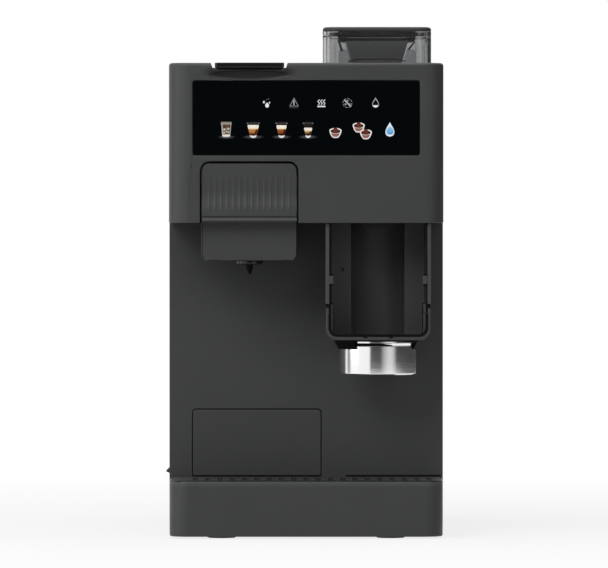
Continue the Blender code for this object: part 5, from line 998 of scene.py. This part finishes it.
def collar_parts():
    """The black collar, open in front under its rim, the steel ring inside it, and the guide across the opening."""
    low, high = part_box("cup_collar")
    centre = centre_of("cup_collar")
    bore, mouth, seat, top, rim = 0.03, 0.0342, 0.1681, 0.173, 0.001
    turned = turned_shape(centre, [
        (0.0381, top, 0.0005), (0.0375, top - 0.0024, 0.0008), (0.0352, low.z + 0.0012, 0.0006),
        (0.0348, low.z, 0.0002), (mouth, low.z), (mouth, seat), (bore, seat), (bore, top),
    ])
    collar = add("turned_collar", turned, "machine", "black_trim")
    carve(collar, [wedge_shape(centre, 236, 334, low.z - 0.001, top - rim)], BEAD_EDGE, 2, SHARP_LIMIT)
    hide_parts("cup_collar")
    turned = turned_shape(centre, [
        (0.0301, top - rim), (0.0345, top - rim, 0.0002), (0.0345, top - 0.0026, 0.0002),
        (0.0339, top - 0.003, 0.0002), (0.0336, seat + 0.0001, 0.0002), (0.0301, seat + 0.0001),
    ], 2 * TURN_STEPS, 5)
    ring = add("collar_ring", turned, "machine", "cup_steel")
    carve(ring, [wedge_shape(centre, 340, 590, low.z - 0.001, high.z + 0.003)], HAIR_EDGE, 1, SHARP_LIMIT)
    upper, brow_top = top - 0.0027, top - 0.0002
    for name, inner, outer, width, steps, *stations in (
        ("bracket", 0.0343, 0.0354, BEAD_EDGE, 6, (230, low.z + 0.0003, upper), (236.4, low.z + 0.0003, upper)),
        ("guide", 0.0337, 0.0354, HAIR_EDGE, 24, (236.2, seat, upper), (268, seat, upper), (292, seat, seat + 0.0003)),
        ("brow", 0.034, 0.0371, HAIR_EDGE, 24, (292, top - 0.0009, brow_top), (335, top - 0.0024, brow_top)),
    ):
        strip = wrapped_shape(centre, inner, outer, stations, steps)
        add(f"collar_{name}", strip, "machine", "black_trim", width, 2, SHARP_LIMIT)
    liner_low, liner_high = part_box("bay_liner")
    room, recess_top, front = 0.0385, top + 0.0002, liner_low.y - 0.001
    cuts = [
        disc_shape(centre, room, low.z, recess_top),
        box_shape((centre[0] - room, front, low.z), (centre[0] + room, centre[1], recess_top)),
    ]
    for x, inner in ((liner_low.x + 0.0043, 0.003), (liner_high.x - 0.0043, -0.003)):
        cuts.append(box_shape((x, front, 0.1965), (x + inner, liner_low.y + 0.0078, liner_high.z + 0.001)))
    recut("bay_liner", "bay_brightened_plastic", cuts, SOFT_EDGE)


# Bean hopper

HOPPER_WALL = 0.0025
HOPPER_CORNER = 0.012


def hopper():
    """The clear hopper, with three ribs in each rear corner."""
    low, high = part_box("hopper_body")
    clear = ring_shape(low, high, HOPPER_CORNER, HOPPER_WALL, low.z, high.z)
    body = add("clear_hopper", clear, "machine", "smoky_clear", SOFT_EDGE, 3)
    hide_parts("hopper_body")
    funnel_gussets(low.z)
    back = high.y - HOPPER_WALL
    for side, name in SIDES:
        edge = low.x + HOPPER_WALL if side < 0 else high.x - HOPPER_WALL
        for step in (1, 2, 3):
            x = edge - side * 0.003 * step
            rib = box_shape((x - 0.0004, back - 0.0013, low.z), (x + 0.0004, back, high.z - 0.0035))
            add(f"hopper_rib_{name}_{step}", rib, "machine", "smoky_clear", BEAD_EDGE)
    hopper_lid(high.z)


def funnel_gussets(bottom):
    """Smoky gussets that hold the funnel's sloping ends, a slanted rib above each, and the brace between them."""
    low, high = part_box("hopper_funnel")
    middle, half, throat = (low.x + high.x) / 2, (high.x - low.x) / 2 + 0.0004, 0.0205
    top, rib_top = 0.4284, high.z - 0.0004
    waist = throat + 0.0006 + (half - throat) * (top - bottom) / (high.z - bottom)
    reach = half + 0.0062
    gusset = [(throat + 0.0006, bottom), (reach, bottom), (reach, top - 0.0015), (reach - 0.002, top), (waist, top)]
    for side, name in SIDES:
        foot, end = (0.0308, 0.4268) if side < 0 else (waist + 0.0015, top)
        rib = [(half + 0.0048, rib_top), (half + 0.0066, rib_top), (foot + 0.0011, end), (foot - 0.0011, end)]
        for part, line, front, back, finish in (
            ("gusset", gusset, 0.0012, 0.0026, "smoky_clear"), ("rib", rib, 0.0006, 0.003, "black_trim"),
        ):
            shape = prism_shape([(middle + side * u, v) for u, v in line], low.y + front, low.y + back, 1)
            add(f"funnel_{part}_{name}", shape, "machine", finish, FINE_EDGE)
    reach, level, thick = 0.0255, 0.4204, 0.001
    arch = [(middle + reach * i / 12, level - 0.002 * (i / 12) ** 4) for i in range(-12, 13)]
    line = arch + [(u, v - thick) for u, v in reversed(arch)]
    brace = prism_shape(line, low.y + 0.001, low.y + 0.0028, 1)
    add("funnel_brace", brace, "machine", "black_trim", BEAD_EDGE)


def hopper_lid(wall_top):
    """The lid: a cap with a dished top, a clear skirt on a black seal, and the plug that locates it."""
    low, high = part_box("hopper_lid")
    skirt_top, seal_top = high.z - 0.0037, wall_top + 0.0008
    levels = [
        (skirt_top, 0.0002), (skirt_top + 0.0002, 0.0), (high.z - 0.0022, 0.0), (high.z - 0.0014, 0.0003),
        (high.z - 0.0007, 0.0009), (high.z - 0.0002, 0.0018), (high.z, 0.0032), (high.z, 0.0085),
        (high.z - 0.0008, 0.0098),
    ]
    cap = stacked_shape(low, high, HOPPER_CORNER, levels)
    lid = add("hopper_cover", cap, "hopper_lid", "dark_plastic", BEAD_EDGE, 2, SHARP_LIMIT)
    ring = ring_shape(low, high, HOPPER_CORNER, 0.0026, wall_top + 0.0003, seal_top)
    seal = add("hopper_cover_seal", ring, "hopper_lid", "black_trim", HAIR_EDGE, 1)
    ring = ring_shape(low, high, HOPPER_CORNER, HOPPER_WALL, seal_top, skirt_top)
    skirt = add("hopper_cover_skirt", ring, "hopper_lid", "smoky_clear", FINE_EDGE)
    left, right = (end.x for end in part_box("hopper_funnel"))
    wide, inset = 0.0066, 0.0031
    front = low.y + inset
    block = prism_shape(
        rectangle(left - wide, right + wide, front, high.y - inset, 0.006, 12), low.z, skirt_top + 0.0002, 2,
    )
    plug = add("hopper_cover_plug", block, "hopper_lid", "rubber", SOFT_EDGE)
    # Painted highlight and shadow: a pale strip stands for the light caught on the hopper's top edge, and a black strip
    # under it for the shadow at the top of the plug.
    for name, finish, inner, foot, top in (
        ("bead", "pale_plastic", 0.001, 0.0015, 0.0026), ("lip", "black_trim", -0.001, 0.0, 0.0012),
    ):
        strip = box_shape((left + inner, front - 0.0004, low.z + foot), (right - inner, front + 0.001, low.z + top))
        add(f"hopper_cover_{name}", strip, "hopper_lid", finish, BEAD_EDGE)
    for piece in (lid, skirt, seal, plug):
        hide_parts("hopper_lid")


# Grille and tray

def grille_details():
    """Cross ribs between the grille's slots, a black strip of painted shadow along the grille's front edge, and black
    strips of painted shadow above the tray on the front panel.
    """
    low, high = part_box("drip_grille")
    count, half = 5, 0.005
    for i in range(count):
        y = low.y + (high.y - low.y) / count * (i + 0.5)
        rib = box_shape((low.x + 0.004, y - half, low.z + 0.0004), (high.x - 0.004, y + half, high.z - 0.0003))
        add(f"grille_rib_{i + 1}", rib, "grille", "shadow_plastic", FINE_EDGE)
    # Painted shadow: a black strip along the grille's front, where the gap to the tray's rim lies in shade.
    front_shadow_strip = box_shape(
        (low.x + 0.002, low.y - 0.0003, high.z - 0.00035), (high.x - 0.002, low.y + 0.0006, high.z + 0.00015),
    )
    add("grille_front_shadow", front_shadow_strip, "grille", "black_trim", HAIR_EDGE, 1)
    panel_low, panel_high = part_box("lower_front_panel")
    door_low, door_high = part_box("drawer_door")
    foot = high.z + 0.0003
    # Painted shadow: black strips on the front panel just above the tray, where the gap behind the grille lies in
    # shade.
    for name, start, end, top in (
        ("left", door_low.x, door_high.x, door_low.z - 0.0002), ("right", 0.035, panel_high.x - 0.0015, foot + 0.0014),
    ):
        seal = box_shape((start, panel_low.y - 0.0004, foot), (end, panel_low.y + 0.0006, top))
        add(f"tray_shadow_line_{name}", seal, "machine", "black_trim", BEAD_EDGE)


# Vents, the tank's fittings and what lies inside the drawer and the tray

LOUVRE_PITCH = 0.0075


def slot_shape(middle, size, axis):
    """A round-ended slot through a wall that faces along an axis."""
    low = [m - s / 2 for m, s in zip(middle, size)]
    high = [m + s / 2 for m, s in zip(middle, size)]
    u, v = [i for i in range(3) if i != axis]
    radius = min(size[u], size[v]) / 2 - 0.00005
    return prism_shape(rectangle(low[u], high[u], low[v], high[v], radius, 5), low[axis], high[axis], axis)


def vents():
    """Louvres low on both sides, and beside the mains inlet."""
    for _, name in SIDES:
        low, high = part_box(f"side_panel_{name}")
        size, x, y = (0.012, 0.062, 0.003), (low.x + high.x) / 2, high.y - 0.052
        rows = [slot_shape((x, y, low.z + 0.05 + LOUVRE_PITCH * i), size, 0) for i in range(8)]
        recut(f"side_panel_{name}", "body_plastic", rows)
    low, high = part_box("tank_cradle")
    size, y, middle = (0.003, 0.012, 0.024), high.y - 0.0015, (low.z + high.z) / 2
    columns = [slot_shape((low.x + 0.026 + LOUVRE_PITCH * i, y, middle), size, 1) for i in range(10)]
    recut("tank_cradle", "body_plastic", columns)
    for side, x in (("l", low.x + 0.011), ("r", high.x - 0.011)):
        for letter, z in (("a", low.z + 0.01), ("b", high.z - 0.01)):
            screw(f"cradle_screw_{side}{letter}", x, high.y, z)


def screw(name, x, y, z):
    """A sunk screw with a cross in its head, on a wall that faces backward."""
    radius, proud, sunk = 0.0031, 0.0009, 0.0003
    head = turned_shape((0, 0), [(0, proud), (radius, proud, 0.0006), (radius, 0), (0, 0)], 32)
    for vert in head.verts:
        across, up, out = vert.co
        vert.co = (x + across, y + out - sunk, z + up)
    piece = add(name, head, "machine", "steel")
    reach, half = 0.0018, 0.0004
    cuts = [
        box_shape((x - u, y + 0.0001, z - v), (x + u, y + 0.002, z + v)) for u, v in ((reach, half), (half, reach))
    ]
    carve(piece, cuts, HAIR_EDGE, 1)


def tank_details():
    """Level marks, a moulded grip and stiffening ribs on the tank, and ribs on its lid."""
    low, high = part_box("water_tank")
    rear, sunk = high.y, high.y - 0.0002
    count, left = 9, low.x + 0.016
    for i in range(count):
        z = 0.105 + 0.03 * i
        wide = 0.016 if i in (0, count - 1) else 0.008
        mark = box_shape((left, sunk, z - 0.0005), (left + wide, rear + 0.0003, z + 0.0005))
        add(f"level_mark_{i + 1}", mark, "tank", "pale_plastic", HAIR_EDGE, 1)
    grip = add(
        "tank_grip", prism_shape(rectangle(-0.042, 0.042, 0.368, 0.38, 0.0055), sunk, rear + 0.002, 1), "tank",
        "dark_plastic",
    )
    hollow = prism_shape(rectangle(-0.0375, 0.0375, 0.3715, 0.3765, 0.0024), rear + 0.0008, rear + 0.01, 1)
    carve(grip, [hollow], 0.0004)
    for side, name in SIDES:
        x, half = side * 0.06, 0.0011
        rib = box_shape((x - half, sunk, low.z + 0.02), (x + half, rear + 0.0012, 0.352))
        add(f"tank_rib_{name}", rib, "tank", "clear", 0.0004)
    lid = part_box("tank_lid")[0]
    for i in range(5):
        y = lid.y + 0.012 + 0.0045 * i
        rib = box_shape((-0.03, y - 0.0008, lid.z + 0.0028), (0.03, y + 0.0008, lid.z + 0.0037))
        add(f"tank_lid_rib_{i + 1}", rib, "tank_lid", "dark_plastic", FINE_EDGE)


def floor_ribs():
    """Ribs on the floors of the tray and of the pod drawer."""
    count, half = 4, 0.0008
    for node, body, floor, inset in (("drip_tray", "tray", 0.0025, 0.012), ("pod_drawer", "drawer", 0.0018, 0.008)):
        low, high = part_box(node)
        left, right, foot = low.x + inset, high.x - inset, low.z + floor
        for i in range(count):
            y = low.y + inset + (high.y - low.y - 2 * inset) / (count - 1) * i
            rib = box_shape((left, y - half, foot), (right, y + half, foot + 0.002))
            add(f"{body}_rib_{i + 1}", rib, body, "dark_plastic", FINE_EDGE)


def feet():
    """Flared rubber feet with a sunk ring."""
    for name in ("foot_front_left", "foot_front_right", "foot_rear_left", "foot_rear_right"):
        low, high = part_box(name)
        wide = (high.x - low.x) / 2 + 0.001
        turned = turned_shape(centre_of(name), [
            (0, high.z), (wide, high.z, 0.0003), (wide, 0.002, 0.0003), (0.0119, 0.0002, 0.0001),
            (0.0115, 0, 0.0001), (0.0078, 0, 0.0001), (0.0074, 0.0006, 0.0002), (0.0054, 0.0006, 0.0002),
            (0.005, 0, 0.0001), (0, 0),
        ], 64)
        foot = add(name + "_pad", turned, "machine", "rubber")
        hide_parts(name)


# Studio

def aim(thing, place, target):
    thing.location = place
    thing.rotation_euler = (Vector(target) - thing.location).to_track_quat("-Z", "Y").to_euler()


def camera():
    data = bpy.data.cameras.new("camera")
    data.lens = VIEW_LENS
    data.sensor_width = 36
    data.clip_end = 100
    thing = linked("camera", data)
    aim(thing, (VIEW_X, FRONT_Y - VIEW_DISTANCE, VIEW_Z), (VIEW_X, FRONT_Y, VIEW_MIDDLE_Z))
    bpy.context.scene.camera = thing


def softbox(name, place, target, width, height, power, shows=True):
    data = bpy.data.lights.new(name, "AREA")
    data.shape = "RECTANGLE"
    data.size, data.size_y = width, height
    data.energy = power
    thing = linked(name, data)
    aim(thing, place, target)
    thing.visible_camera = False
    thing.visible_glossy = shows


def surroundings(level):
    """White where it is seen, and plain grey light elsewhere."""
    world = bpy.data.worlds.new("studio")
    bpy.context.scene.world = world
    world.use_nodes = True
    world.node_tree.nodes.clear()
    nodes = Nodes(world.node_tree)
    light, seen = (
        nodes.node("ShaderNodeBackground", {0: (grey, grey, grey, 1)}).outputs[0] for grey in (level, 1)
    )
    mix = nodes.node("ShaderNodeMixShader", {0: nodes.shown_rays(), 1: light, 2: seen}).outputs[0]
    nodes.node("ShaderNodeOutputWorld", {0: mix})


def floor():
    """A pale floor that shows as white, a little darker near the machine."""
    shape = bmesh.new()
    bmesh.ops.create_grid(shape, x_segments=8, y_segments=8, size=9)
    thing = thing_from("floor", shape)
    pale = Finish("pale_floor", Specular_IOR_Level=0.0)
    white = pale.spread(pale.vector("LENGTH", pale.place), 0.28, 1.3, 0.8, 1.0)
    share = pale.times(pale.shown_rays(), white)
    glow = pale.node("ShaderNodeEmission").outputs[0]
    mix = pale.node("ShaderNodeMixShader", {0: share, 1: pale.shader.outputs[0], 2: glow}).outputs[0]
    pale.feed(pale.tree.nodes["Material Output"].inputs[0], mix)
    thing.data.materials.append(pale.dress((0.6, 0.6, 0.6, 1), 0.9))


def card(name, columns, top, through_glass=False):
    """A dull card that shows in gloss alone. Each column of it is (x, y, its level of grey)."""
    shape = bmesh.new()
    glow = shape.verts.layers.float_color.new("glow")
    sides = []
    for x, y, level in columns:
        sides.append([shape.verts.new((x, y, z)) for z in (0.0, top)])
        for vert in sides[-1]:
            vert[glow] = (level, level, level, 1.0)
    for a, b in zip(sides, sides[1:]):
        shape.faces.new((a[0], b[0], b[1], a[1]))
    thing = thing_from(name, shape)
    dull = Finish(name, Specular_IOR_Level=0.0, Emission_Strength=1.0)
    thing.data.materials.append(dull.dress(BLACK, glow=dull.paint("glow")))
    thing.visible_camera = False
    thing.visible_diffuse = False
    thing.visible_shadow = False
    thing.visible_transmission = through_glass


def studio():
    camera()
    floor()
    surroundings(0.4)
    softbox("key", (-1.5, -2.8, 2.3), (0, -0.1, 0.15), 1.8, 1.8, 76)
    softbox("side", (-2.4, -0.7, 1.0), (0, -0.1, 0.2), 1.4, 1.6, 20)
    softbox("top", (0.0, -0.2, 2.4), (0, 0, 0.3), 1.6, 1.6, 22)
    softbox("fill", (1.0, -2.6, 1.0), (0, -0.1, 0.2), 1.2, 1.2, 15, False)
    dark = 0.05
    card("card_front", [
        (-0.57, -1.6, dark), (0.26, -1.6, dark), (0.36, -1.6, 0.2), (0.62, -1.6, 0.47), (0.92, -1.55, 0.68),
        (1.22, -1.42, 0.66), (1.4, -1.34, 0.45), (1.52, -1.1, dark),
    ], 0.9)
    card("card_right", [(1.52, -1.1, dark), (1.52, 5.0, dark)], 1.3, True)
    card("card_left", [(-1.5, -0.2, 0.92), (-1.5, -0.02, 0.2), (-1.5, 0.1, 0.2), (-1.5, 0.3, 0.92)], 0.9)
    bpy.context.scene.view_settings.view_transform = "Standard"


dress_solids()
display()
carriage()
lid_bar()
bay_details()
dosing_cup()
collar_parts()
hopper()
grille_details()
vents()
tank_details()
floor_ribs()
feet()
studio()
